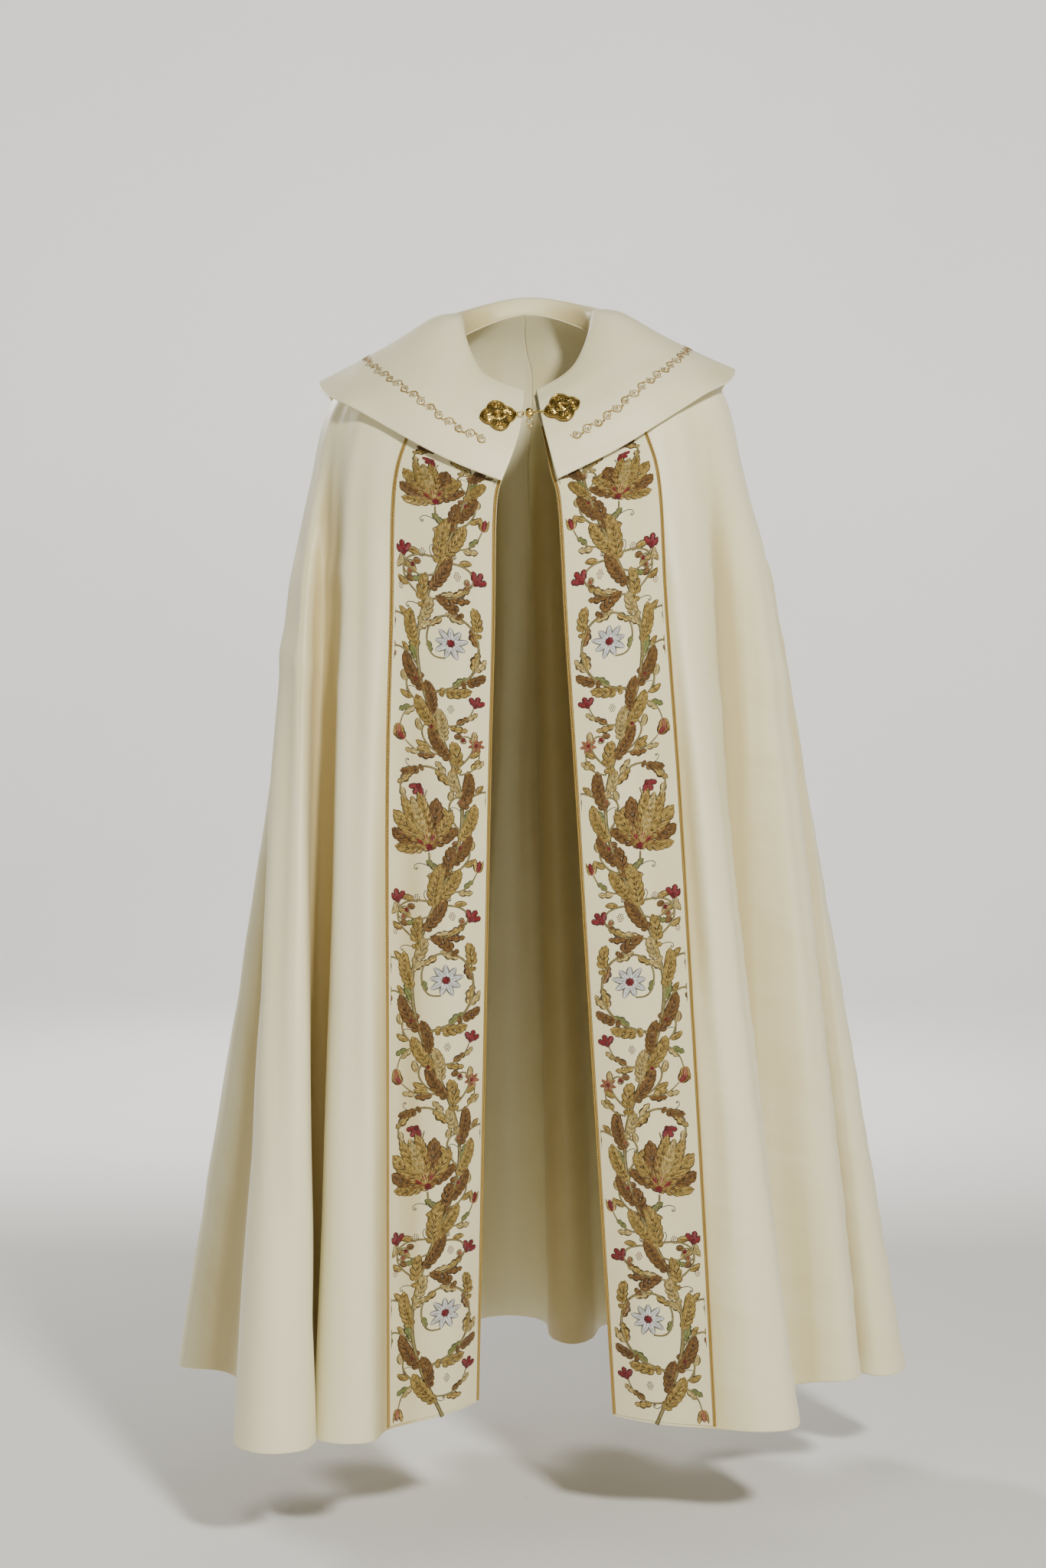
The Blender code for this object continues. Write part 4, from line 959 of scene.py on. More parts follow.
        # petals that are long and short by turns, round a red eye
        for k in range(petals):
            length = radius * (1.0 if k % 2 else 0.90)
            self.leaf(kind, x, y, 360 * k / petals, length, radius * 0.215, 6, 0, 0.8, 0.0, 9, 5)
        self.bloom("red", x, y, radius * 0.28, 7, 0.0, 0.2, 1.5)

    def poppy(self, x, y, size, heading):
        # three red petals, a cap and a dark eye
        for angle in (-58, 0, 58):
            self.leaf("red", x, y, heading + angle, size, size * 0.36, -angle * 0.25, 2, 1.0, 0.22)
        self.bloom("red", x, y, size * 0.36, 4, heading, 0.2, 1.5)
        self.bloom("plum", x, y, size * 0.13, 1, 0, 0.0, 1.9, 3)

    def bud(self, x, y, size, heading, outer="gold", inner="copper"):
        # two leaves that close over a petal
        for side in (-1, 1):
            self.leaf(outer, x, y, heading + 34 * side, size, size * 0.20, -26 * side, 2, 0.8, 0.25)
        self.leaf(inner, x, y, heading, size * 0.82, size * 0.20, 0, 0, 1.2, 0.0)

    def lay(self, name, place, mirrored, limit=None):
        # puts every shape on the cloth and turns each quad so that it faces out
        bunch = Bunch(["leaf", "thread"])
        ease = 8
        for kind, flat, height, side, lobe, across, along in self.shapes:
            if limit:
                # what would pass the limit at the sides is pressed together smoothly inside it
                out = np.abs(flat[..., 0])
                over = np.clip(out - limit + ease, 0, None)
                pressed = np.sign(flat[..., 0]) * (out - over + ease * np.tanh(over / ease))
                flat = np.stack([pressed, flat[..., 1]], axis=-1)
            downRun, acrossRun = np.gradient(flat, axis=0), np.gradient(flat, axis=1)
            turnsOut = (acrossRun[..., 0] * downRun[..., 1] - acrossRun[..., 1] * downRun[..., 0]).sum() > 0
            points = place(flat / 1000, (height - bandSewing["sunk"]) / 1000)
            leafMap, threadMap = np.stack([side, lobe], axis=-1), np.stack([across, along], axis=-1) / 1000
            maps = {"leaf": leafMap, "thread": threadMap}
            bunch.grid(points, maps, kind, False, turnsOut == mirrored)
        return bunch.finish(name, threads)


bandSewing = {"firstDown": 0.150, "repeat": 0.440, "repeats": 3, "last": 1.470, "limit": 59.0, "sunk": 0.12}


def sewRepeat(sew, y, last):
    # one repeat of the scrolling foliage, from y up; what would pass the last line is left out
    wave = [(30.0 * math.sin(2 * math.pi * at / 440.0), at) for at in range(-20, 461, 20)]
    items = [
        # how far up it reaches, what it is, then its own values
        (442, "spray", "olive", wave, 5.2, 5.2, [
            (0.05, 1, 50, 13, "gold"), (0.09, -1, 44, 11, "brown"), (0.155, 1, 52, 12, "brown"),
            (0.235, 1, 26, 7, "green"), (0.265, 1, 48, 12, "gold"), (0.33, -1, 36, 10, "straw"),
            (0.37, 1, 42, 10, "gold"), (0.42, -1, 50, 12, "brown"), (0.485, 1, 58, 14, "gold"),
            (0.50, -1, 50, 12, "gold"), (0.57, 1, 40, 10, "brown"), (0.60, -1, 44, 11, "brown"),
            (0.665, -1, 50, 12, "gold"), (0.70, -1, 26, 7, "green"), (0.745, -1, 50, 12, "brown"),
            (0.78, 1, 36, 9, "straw"), (0.84, -1, 42, 11, "gold"), (0.88, 1, 50, 12, "brown"),
            (0.93, -1, 44, 11, "straw"),
        ]),
        (70, "scroll", 12, 26, 62, 96, -1, "red"), (190, "scroll", 28, 126, 40, 84, 1, "copper"),
        (220, "scroll", 22, 168, 58, 92, -1, "red"), (210, "scroll", 3, 214, -84, 88, -1, "copper"),
        (300, "scroll", -13, 250, -58, 92, 1, "red"), (250, "scroll", 2, 218, 80, 96, 1, "copper"),
        (380, "scroll", -29, 344, -44, 84, -1, "copper"), (430, "scroll", -14, 404, 66, 104, -1, "red"),
        (440, "scroll", -20, 390, -50, 92, 1, "red"), (320, "scroll", -29, 308, 38, 90, -1, "copper"),
        (110, "scroll", 28, 82, 34, 78, 1, "copper"),
        # the first scroll, which winds round a daisy
        (176, "spray", "olive", [
            (20, 48), (2, 53), (-24, 64), (-43, 88), (-46, 116), (-35, 142), (-10, 153), (12, 142),
            (18, 119), (8, 99), (-6, 98),
        ], 4.4, 2.4, [
            (0.08, -1, 40, 10.0, "gold"), (0.20, -1, 34, 9.0, "brown"), (0.30, -1, 24, 6.5, "straw"),
            (0.16, 1, 24, 6.0, "green"), (0.30, 1, 28, 7.5, "gold"), (0.48, -1, 38, 9.5, "gold"),
            (0.44, 1, 26, 6.5, "brown"), (0.60, -1, 40, 10.0, "brown"), (0.58, 1, 26, 6.5, "straw"),
            (0.70, 1, 22, 6.0, "gold"), (0.76, -1, 24, 6.0, "straw"), (0.86, 1, 16, 4.5, "green"),
        ]),
        (148, "daisy", -12, 118, 23.0),
        # under the scroll, a short branch to each edge
        (60, "spray", "olive", [(17, 38), (32, 30), (44, 18), (49, 2)], 2.8, 1.8, [
            (0.35, 1, 18, 5.0, "straw"), (0.4, -1, 18, 5.0, "green"),
        ]),
        (30, "bud", 50, 4, 20, 176),
        (66, "spray", "olive", [(3, 10), (-14, 8), (-32, 16), (-42, 34)], 2.8, 1.8, [
            (0.3, -1, 24, 6.0, "gold"), (0.45, 1, 20, 5.5, "brown"), (0.7, -1, 16, 4.5, "straw"),
        ]),
        (60, "poppy", -44, 38, 13, -18),
        # the middle, where the stem crosses
        (226, "spray", "olive", [(20, 168), (4, 172), (-18, 176), (-38, 192)], 3.0, 1.8, [
            (0.3, 1, 20, 5.5, "straw"), (0.5, -1, 24, 6.0, "brown"), (0.55, 1, 24, 6.0, "gold"),
        ]),
        (214, "poppy", -42, 196, 14, -34),
        (240, "spray", "olive", [(9, 200), (24, 196), (40, 202), (48, 216)], 2.8, 1.8, [
            (0.3, 1, 18, 5.0, "green"), (0.5, -1, 20, 5.5, "gold"),
        ]),
        (236, "poppy", 49, 220, 14, 12),
        (280, "spray", "olive", [(-8, 234), (-24, 232), (-40, 240), (-49, 256)], 2.8, 1.8, [
            (0.35, -1, 20, 5.5, "straw"), (0.5, 1, 16, 4.5, "green"),
        ]),
        (280, "bud", -50, 256, 20, -12, "gold", "red"),
        # the palmette and its branch
        (300, "spray", "olive", [(-22, 258), (-6, 256), (6, 264), (10, 282)], 3.8, 2.6, [
            (0.3, 1, 22, 6.0, "gold"), (0.45, -1, 20, 5.5, "green"),
        ]),
        (350, "palmette", 10, 290, 20, 70),
        # the second scroll, which winds round a poppy
        (420, "spray", "olive", [
            (-29, 350), (-14, 376), (10, 392), (34, 386), (47, 364), (38, 346), (20, 348), (14, 362),
        ], 4.0, 2.0, [
            (0.16, 1, 28, 7.0, "gold"), (0.24, -1, 22, 5.5, "straw"), (0.42, 1, 30, 7.5, "brown"),
            (0.52, 1, 26, 6.5, "gold"), (0.5, -1, 16, 4.5, "green"), (0.68, 1, 20, 5.5, "straw"),
        ]),
        (384, "poppy", 24, 366, 13, 150),
        (430, "spray", "olive", [(-26, 384), (-38, 388), (-48, 400), (-50, 416)], 2.8, 1.8, [
            (0.4, 1, 18, 5.0, "gold"), (0.5, -1, 16, 4.5, "straw"),
        ]),
        (436, "daisy", -46, 424, 12.0, 7, "copper"),
        (440, "spray", "olive", [(-14, 406), (6, 410), (26, 412), (42, 424)], 2.8, 1.8, [
            (0.3, 1, 24, 6.0, "brown"), (0.4, -1, 20, 5.5, "gold"), (0.65, 1, 18, 5.0, "straw"),
        ]),
        (448, "bud", 43, 424, 20, 40, "brown", "red"),
        # clusters of knots
        (60, "dots", "plum", -14, 26, (2, 3, 4, 3, 2), 0),
        (250, "dots", "red", -20, 196, (2, 3, 4, 3, 2), 12),
        (256, "dots", "plum", 26, 218, (2, 3, 4, 4, 2), -8),
        (352, "dots", "red", -6, 340, (2, 3, 3, 2), 100),
        (400, "dots", "plum", -50, 360, (2, 3, 3, 2, 1), 6),
        (192, "dots", "red", 52, 176, (2, 3, 3, 2), 0),
        # thin curls
        *((top, "tendril", *values) for top, *values in [
            (40, 4, 12, -150, 34, 1), (90, -40, 76, -120, 26, -1), (100, 30, 84, 118, 30, 1),
            (200, 28, 160, 70, 34, 1), (190, -34, 148, -70, 30, 1), (260, 6, 214, 50, 40, -1),
            (260, -2, 222, -60, 30, -1), (300, -30, 292, -100, 28, 1), (292, 6, 262, 60, 44, 1),
            (350, -30, 334, 40, 30, 1), (420, 30, 388, 70, 30, -1), (420, -12, 404, -20, 34, -1),
            (60, 22, 50, 60, 40, 1), (140, 14, 140, 60, 20, -1), (380, -30, 346, -60, 26, 1),
        ]),
    ]
    for highest, kind, *values in items:
        if y + highest > last and kind != "spray":
            continue
        if kind == "spray":
            tone, knots, wide, narrow, leaves = values
            kept = [(a, y + b) for a, b in knots if y + b <= last]
            if len(kept) < 4:
                continue
            share = len(kept) / len(knots)
            leaves = [(t / share, *leaf) for t, *leaf in leaves if t < share - 0.06]
            sew.spray(tone, kept, wide, narrow, leaves)
        elif kind == "dots":
            tone, a, b, *rest = values
            sew.dots(tone, a, y + b, *rest)
        else:
            a, b, *rest = values
            getattr(sew, kind)(a, y + b, *rest)


sew = Sewing()
for number in range(bandSewing["repeats"]):
    start = 1000 * (bandSewing["firstDown"] + bandSewing["repeat"] * number)
    sewRepeat(sew, start, 1000 * bandSewing["last"])
for side in ("left", "right"):
    def place(flat, height, side=side):
        # the foliage grows upwards, so that its y counts from the hem
        down = bandSewing["firstDown"] + bandSewing["last"] - flat[..., 1]
        return onBand(side, cloakCut["bandWidth"] / 2 + flat[..., 0], down, surface + height)
    piece = sew.lay(f"embroidery_{side}", place, side == "left", bandSewing["limit"])
    finishPiece(piece)
    print("cope: embroidery", side, len(piece.data.polygons) * 2, "triangles")


# the collar, on the same rings and spokes as its solid, lifted off the cloak

collarCut = {
    "thickness": 0.0026, "clear": 0.0034, "overBand": 0.0058, "overBandDeg": 54.0, "overBandEase": 3,
    "freeOut": 0.045, "soft": 0.0012, "nearDown": 0.46, "passes": 3,
    # out, side, front, back, sideZ, frontZ, backZ
    "rings": [
        (0.000, 0.0785, 0.1010, 0.0690, 0.0022, -0.0834, 0.0316),
        (0.018, 0.0830, 0.1065, 0.0755, 0.0230, -0.0790, 0.0490),
        (0.032, 0.0940, 0.1150, 0.0860, 0.0265, -0.0845, 0.0510),
        (0.105, 0.1620, 0.1420, 0.1180, -0.0030, -0.1150, 0.0080),
    ],
    "edgeOut": 0.215,
    # bearing, reach, height
    "edge": [
        (10.5, 0.1800, -0.191), (28, 0.1910, -0.167), (46, 0.2150, -0.131), (62, 0.2480, -0.091),
        (76, 0.2620, -0.071), (90, 0.2635, -0.054), (104, 0.2590, -0.077), (120, 0.2450, -0.148),
        (138, 0.2220, -0.228), (158, 0.2050, -0.286), (180, 0.1980, -0.312),
    ],
    "neckDeg": 4.0,
    "rows": (
        0, 0.009, 0.018, 0.026, 0.034, 0.055, 0.080, 0.105, 0.119, 0.133, 0.147, 0.161, 0.175, 0.188, 0.202,
        0.215,
    ),
    # out, then how far the left and the right front edge turn towards the middle
    "edgeTurn": [
        (0.000, 2.9, -1.7), (0.080, 4.3, -0.2), (0.110, 4.8, 0.2), (0.150, 4.4, 0.0), (0.215, 0.6, -1.3),
    ],
    "turnSpread": 24.0,
}


def collarNet():
    # spokes from the neck seam to the outer edge, turned at the front and lifted off the cloak
    rings, edge, edgeOut = collarCut["rings"], np.array(collarCut["edge"], float), collarCut["edgeOut"]
    outs = [ring[0] for ring in rings] + [edgeOut]
    left = []
    for degrees, reach, z in edge:
        neck = collarCut["neckDeg"] if degrees == edge[0, 0] else degrees
        spoke = [ovalRing(ring, np.array(neck + (degrees - neck) * out / edgeOut)) for out, *ring in rings]
        end = reach * compass(degrees)
        end[2] = z
        left.append(np.array(spoke + [end]))
    net = np.array(left + [spoke * np.array([-1, 1, 1]) for spoke in left[-2::-1]])
    net[..., 2] += cloakCut["shoulderTilt"] * net[..., 0]
    knots = np.concatenate([edge[:, 0], 360 - edge[-2::-1, 0]])
    degrees = np.sort(np.concatenate([knots, (knots[1:] + knots[:-1]) / 2]))
    rows = np.array(collarCut["rows"])
    grid = smoothThrough(knots, smoothThrough(outs, net.transpose(1, 0, 2), rows).transpose(1, 0, 2), degrees)
    grid = grid.transpose(1, 0, 2)
    table = np.array(collarCut["edgeTurn"])
    turns = smoothThrough(table[:, 0], table[:, 1:], rows)
    spread = collarCut["turnSpread"]
    fromLeft = np.clip(1 - (degrees - degrees[0]) / spread, 0, 1) ** 2
    fromRight = np.clip(1 - (degrees[-1] - degrees) / spread, 0, 1) ** 2
    turn = np.radians(turns[:, :1] * fromLeft - turns[:, 1:] * fromRight)
    x, y = grid[..., 0].copy(), grid[..., 1].copy()
    grid[..., 0] = x * np.cos(turn) - y * np.sin(turn)
    grid[..., 1] = x * np.sin(turn) + y * np.cos(turn)
    free = int(np.argmax(rows > collarCut["freeOut"]))
    grid[free:] = liftedOff(grid[free:], degrees)
    return rows, degrees, grid


def liftedOff(points, degrees):
    # each point moves out along the normal of the nearest place of the cloak until it is clear of it
    near = downs < collarCut["nearDown"]
    base, out = cloak[near].reshape(-1, 3), cloakOut[near].reshape(-1, 3)
    bearing = np.minimum(degrees, 360 - degrees)
    over = 1 / (1 + np.exp((bearing - collarCut["overBandDeg"]) / collarCut["overBandEase"]))
    wanted = collarCut["thickness"] + collarCut["clear"] + collarCut["overBand"] * over
    soft = collarCut["soft"]
    for _ in range(collarCut["passes"]):
        for row in points:
            apart = (base ** 2).sum(1)[None] - 2 * row @ base.T
            nearest = apart.argmin(axis=1)
            gap = ((row - base[nearest]) * out[nearest]).sum(1)
            row += (soft * np.log1p(np.exp((wanted - gap) / soft)))[:, None] * out[nearest]
        wanted = wanted - soft / 2
    return points


collarOuts, collarDegrees, collarGrid = collarNet()


def collarSurface(outs, degrees):
    down = smoothThrough(collarOuts, collarGrid, outs)
    return smoothThrough(collarDegrees, down.transpose(1, 0, 2), degrees).transpose(1, 0, 2)


# the foot runs a little past the neck seam, into the cloak's own edge
fineOuts = np.concatenate([[-0.0022, -0.001], np.linspace(0.001, 0.211, 66), [0.2130, 0.2139, 0.2145, 0.215]])
firstDegree, lastDegree, nearEdge = collarDegrees[0], collarDegrees[-1], np.array([0, 0.15, 0.35, 0.65])
fineDegrees = np.concatenate([
    firstDegree + nearEdge, np.linspace(firstDegree + 1.6, lastDegree - 1.6, 230),
    lastDegree - nearEdge[::-1],
])
collarFace = collarSurface(fineOuts, fineDegrees)
collarOut = gridNormals(collarFace)
collarRipple = {
    # bearing, out, half width in degrees, half width out, height: soft waves of the free edge
    "waves": [
        (38, 0.185, 9, 0.050, 0.0022), (66, 0.190, 8, 0.045, -0.0018), (108, 0.170, 12, 0.050, 0.0026),
        (150, 0.150, 14, 0.060, -0.0016), (205, 0.160, 14, 0.060, 0.0022), (252, 0.170, 12, 0.050, -0.0016),
        (296, 0.185, 9, 0.045, 0.0022), (322, 0.185, 9, 0.050, 0.0016), (90, 0.060, 16, 0.022, 0.0016),
        (270, 0.060, 16, 0.022, 0.0014), (24, 0.075, 7, 0.028, 0.0010), (336, 0.075, 7, 0.028, 0.0010),
    ],
    # a hollow keeps this share of its depth, so that the collar stays clear of the cloak
    "hollowShare": 0.3,
}
collarWave = np.zeros(collarFace.shape[:2])
for degrees, out, wideDeg, wideOut, rise in collarRipple["waves"]:
    aside, off = (fineDegrees[None] - degrees) / wideDeg, (fineOuts[:, None] - out) / wideOut
    collarWave += max(rise, collarRipple["hollowShare"] * rise) * np.exp(-aside ** 2 - off ** 2)
collarFace = collarFace + collarWave[..., None] * collarOut
collarOut = gridNormals(collarFace)
collarUv = np.stack([runAlong(collarFace, 1), runAlong(collarFace, 0)], axis=-1)
collar = clothWall("collar_cloth", collarFace, collarOut, collarCut["thickness"], cream, collarUv)
finishPiece(collar, "collar")
print("cope: collar made")


def onCollar(out, degrees, height):
    # a place on the collar, lifted off its cloth, and the direction that its cloth faces there
    place = readGrid(collarFace, fineOuts, fineDegrees, out, degrees)
    facing = unit(readGrid(collarOut, fineOuts, fineDegrees, out, degrees))
    return place + height[..., None] * facing, facing


# the line of small scrolls sewn on the collar, all the way round

chainLine = {
    # bearing and distance out from the neck seam on the left, repeated on the right
    "line": [
        (19, 0.168), (28, 0.166), (40, 0.160), (54, 0.153), (70, 0.150), (90, 0.150), (110, 0.155),
        (135, 0.158), (180, 0.160),
    ],
    "loop": 0.0150,
}


def chainPath():
    # distance run along the line, with its bearings and its distances from the neck seam
    line = np.array(chainLine["line"], float)
    degrees = np.concatenate([line[:, 0], 360 - line[-2::-1, 0]])
    outs = np.concatenate([line[:, 1], line[-2::-1, 1]])
    fine = np.linspace(degrees[0], degrees[-1], 900)
    fineOut = smoothThrough(degrees, outs[:, None], fine)[:, 0]
    points, _ = onCollar(fineOut, fine, np.zeros(len(fine)))
    return pathRun(points), fine, fineOut


chainRun, chainDegrees, chainOuts = chainPath()
chain = Sewing()
loops = int(chainRun[-1] / chainLine["loop"])
for k in range(loops):
    # a curl round a small flower, a leaf and a link to the next curl, on either side by turns
    centre = (k + 0.5) * chainRun[-1] / loops * 1000
    lean = 1 if k % 2 else -1
    size, start = 5.6 + 0.7 * math.sin(k * 2.3), 0 if lean > 0 else 180
    chain.curl("chain", centre - 1.0, lean * (size - 0.6), size, start, 1.45 * lean, 1.7, 1.2, 0.6, 0.42)
    chain.bloom("chain", centre - 1.0, 0.2 * lean, 1.7, 4, 20 * k, 0.3, 0.9, 3)
    chain.leaf("chain", centre + 5.0, 3.4 * lean, 90 + 30 * lean, 5.4, 1.3, -40 * lean, 0, 0.6, 0.0, 7, 5)
    link = [(centre - 7.2, -2.6 * lean), (centre, -6.0 * lean), (centre + 7.2, 2.6 * lean)]
    chain.ribbon("chain", smoothPath(link, 9), 1.3, 1.3, 0.6)

smallStep, noLift = 0.002, np.zeros(len(chainRun))
chainPoints, chainNormals = onCollar(chainOuts, chainDegrees, noLift)
spokeStep = (onCollar(chainOuts + smallStep, chainDegrees, noLift)[0] - chainPoints) / smallStep
chainAhead = unit(np.gradient(chainPoints, axis=0))
chainAside = unit(np.cross(chainNormals, chainAhead))
chainAside *= np.sign((spokeStep * chainAside).sum(axis=1))[:, None]
spokeAside = (spokeStep * chainAside).sum(axis=1)
spokeAhead = (spokeStep * chainAhead).sum(axis=1)


def placeChain(flat, height):
    # a step aside is made of a step along the spoke less what the spoke leans along the line
    run = flat[..., 0]
    along = flat[..., 1] / np.interp(run, chainRun, spokeAside)
    run = run - along * np.interp(run, chainRun, spokeAhead)
    degrees = np.interp(run, chainRun, chainDegrees)
    place, _ = onCollar(np.interp(run, chainRun, chainOuts) + along, degrees, height)
    return place


chainPiece = finishPiece(chain.lay("collar_scrolls", placeChain, False))
print("cope: collar scrolls", len(chainPiece.data.polygons) * 2, "triangles")


# the clasp: two pressed rosettes, and between them a ring, a hook with its knob, links and the drop

claspCut = {
    # where each rosette sits on the collar: bearing, distance out, then its turn in its own plane
    "left": (17.6, 0.1200, 4.0), "right": (341.4, 0.1100, 10.0),
    "radius": 0.0225, "lobe": 0.0124, "gap": 0.0012, "plate": 0.0013,
    "lugRadius": 0.0015, "lugWire": 0.0005, "lugOut": 0.0008, "ringRadius": 0.0041, "ringWire": 0.00055,
    "hookRadius": 0.0016, "hookWire": 0.00055, "hookReach": 0.0070, "knobHalf": (0.0050, 0.0060, 0.0028),
    "links": 3, "linkWire": 0.00045, "linkHalfWidth": 0.00135, "linkPlay": 0.0003,
    "dropRadius": 0.00395, "smallDropRadius": 0.0027, "dropStep": 0.0071,
}
claspRelief = {
    "field": 0.0016,
    # height, distance out and width as shares of the radius, number of beads and their least share
    "rings": [
        (0.0009, 0.945, 0.035, 0, 1), (-0.0006, 0.865, 0.030, 0, 1), (0.00045, 0.80, 0.020, 52, 0.6),
        (0.0015, 0.31, 0.038, 0, 1), (-0.0007, 0.22, 0.035, 0, 1), (0.0026, 0.0, 0.125, 0, 1),
        (0.0004, 0.40, 0.022, 28, 0.5),
    ],
}


def circlePath(centre, first, second, radius, steps, start=0.0, end=360.0):
    whole = abs(end - start) >= 360
    turns = np.radians(np.linspace(start, end, steps, endpoint=not whole))
    return centre + radius * (np.cos(turns)[:, None] * first + np.sin(turns)[:, None] * second)


def rosetteHeight(reach, turns):
    # height over the plate: rings, then fingers and a rib pressed into each lobe
    height = claspRelief["field"] + 0 * reach + 0 * turns
    for rise, at, width, beads, least in claspRelief["rings"]:
        height += rise * np.exp(-((reach - at) / width) ** 2) * (least + (1 - least) * np.cos(beads * turns))
    lobe = (turns + np.pi / 4) % (np.pi / 2) - np.pi / 4
    body = np.exp(-((reach - 0.60) / 0.15) ** 2)
    height += 0.0010 * body * np.cos(12 * lobe + 9 * (reach - 0.6)) ** 2 * np.exp(-(lobe / 0.62) ** 4)
    height += 0.0008 * np.exp(-((reach - 0.56) / 0.055) ** 2 - (lobe / 0.16) ** 2)
    return np.where(reach > 0.985, np.maximum(height - 0.0012, 0.0), height)


def rosetteGrid(seat, facing, along, across):
    # rings of the four-lobed outline, drawn in towards a circle at the boss, raised by the relief
    turns = np.linspace(0, 2 * np.pi, 180, endpoint=False)[None]
    reach = np.concatenate([[0.0], np.linspace(0.02, 0.97, 52), [0.985, 0.995, 1.0]])[:, None]
    offLobe = (turns + np.pi / 4) % (np.pi / 2) - np.pi / 4
    mid = claspCut["radius"] - claspCut["lobe"]
    outline = mid * np.cos(offLobe) + np.sqrt(claspCut["lobe"] ** 2 - (mid * np.sin(offLobe)) ** 2)
    # the corner between two lobes is eased a little
    outline = outline + 0.0006 * np.exp(-((np.abs(offLobe) - np.pi / 4) / 0.06) ** 2)
    # and each lobe has a slight point
    outline = outline + 0.0009 * np.exp(-(offLobe / 0.13) ** 2)
    rounded = np.clip((0.55 - reach) / 0.25, 0, 1)
    shape = outline + (claspCut["radius"] * 0.86 - outline) * rounded
    height = rosetteHeight(reach, turns) * np.where(reach >= 0.9999, 0.0, 1.0)
    spokes = np.cos(turns)[..., None] * along + np.sin(turns)[..., None] * across
    points = seat + (reach * shape)[..., None] * spokes + height[..., None] * facing
    relief = np.stack([np.clip(height / 0.0035, 0, 1), reach + 0 * turns], axis=-1)
    # the flat back needs only a ring half way in and its middle
    back = seat + (reach * shape)[[27, 0], :, None] * spokes
    return points, relief, back


def rosetteScrolls(bunch, seat, facing, along, across):
    # in each lobe, two wire scrolls back to back and a bead, standing on the relief
    for lobe in range(4):
        for hand in (-1, 1):
            t = np.linspace(0, 1, 34)
            spin = hand * (2.2 - 7.4 * t)
            small = 0.0030 * (1 - 0.74 * t)
            centre = np.array([0.0132, hand * 0.0034])
            flat = centre + small[:, None] * np.stack([np.cos(spin), np.sin(spin)], axis=1)
            angle = lobe * np.pi / 2
            u = flat[:, 0] * np.cos(angle) - flat[:, 1] * np.sin(angle)
            v = flat[:, 0] * np.sin(angle) + flat[:, 1] * np.cos(angle)
            path = seat + u[:, None] * along + v[:, None] * across + 0.0026 * facing
            bunch.tube(path, facing, 0.00042 * (1 - 0.3 * t), 8)
            bunch.bead(path[-1], facing, along, 0.0007)
        # a bead at the lobe's tip and one between two lobes: turn, distance out, height, radius
        beads = ((lobe, 0.0176, 0.0022, 0.0010), (lobe + 0.5, 0.0118, 0.0021, 0.0009))
        for turned, out, height, radius in beads:
            place = np.array([np.cos(turned * np.pi / 2), np.sin(turned * np.pi / 2)]) * out
            bunch.bead(seat + place[0] * along + place[1] * across + height * facing, facing, along, radius)


class MetalBunch(Bunch):
    def __init__(self):
        super().__init__(["cloth", "relief"])

    def ball(self, centre, first, second, third, half, rows, columns, relief=0.0):
        # an ellipsoid with leaf-like ribs pressed into it
        lat = np.linspace(0, np.pi, rows)[:, None]
        lon = np.linspace(0, 2 * np.pi, columns, endpoint=False)[None]
        ribbed = 1 - relief * (0.5 + 0.5 * np.cos(6 * lon)) * np.sin(lat) ** 2
        x = np.sin(lat) * np.cos(lon) * half[0] * ribbed
        y = np.sin(lat) * np.sin(lon) * half[1] * ribbed
        z = np.cos(lat) * half[2] + 0 * lon
        points = centre + x[..., None] * first + y[..., None] * second + z[..., None] * third
        bright = 0.35 + 0.55 * (ribbed - 1 + relief) / max(relief, 0.01) * 0.9
        pairs = np.stack(np.broadcast_arrays(bright, lat + 0 * lon), axis=-1)
        turned = np.cross(first, second) @ third > 0
        self.grid(points, {"cloth": pairs, "relief": pairs}, 0, True, not turned)

    def bead(self, centre, facing, along, radius):
        self.ball(centre, along, np.cross(facing, along), facing, (radius, radius, radius), 7, 12)


def inPlane(direction, facing):
    # the part of a direction that lies in the plane that faces this way
    return unit(direction - (direction @ facing) * facing)


def claspSeat(degrees, out):
    # where a rosette sits, from the collar's own surface without its ripple
    steps = np.array([-1, 0, 1])
    nudge = collarSurface(out + 0.002 * steps, degrees + 0.4 * steps)
    facing = unit(np.cross(nudge[1, 2] - nudge[1, 0], nudge[2, 1] - nudge[0, 1]))
    return nudge[1, 1] + claspCut["gap"] * facing, facing


seats = {side: claspSeat(*claspCut[side][:2]) for side in ("left", "right")}
midPlate = claspCut["plate"] / 2 + 0.0003
lugs = {}
for side, other in (("left", "right"), ("right", "left")):
    seat, facing = seats[side]
    towards = inPlane(seats[other][0] - seat, facing)
    along = towards if side == "left" else -towards
    across = np.cross(facing, along)
    turn = math.radians(claspCut[side][2])
    lobeAlong = math.cos(turn) * along + math.sin(turn) * across
    lobeAcross = math.cos(turn) * across - math.sin(turn) * along
    metal = MetalBunch()
    points, relief, back = rosetteGrid(seat, facing, lobeAlong, lobeAcross)
    metal.grid(points, {"cloth": relief, "relief": relief}, 0, True, True)
    flatMaps = {"cloth": (0.5, 0.5), "relief": (0.3, 0.5)}
    metal.grid(np.concatenate([points[-1:], back]), flatMaps, 0, True, True)
    rosetteScrolls(metal, seat, facing, lobeAlong, lobeAcross)
    lugs[side] = seat + midPlate * facing + (claspCut["radius"] + claspCut["lugOut"]) * towards
    lug = circlePath(lugs[side], towards, facing, claspCut["lugRadius"], 28)
    metal.tube(lug, across, claspCut["lugWire"], 8, True)
    finishPiece(metal.finish(f"rosette_{side}_gilt", [gilt]), f"rosette_{side}")

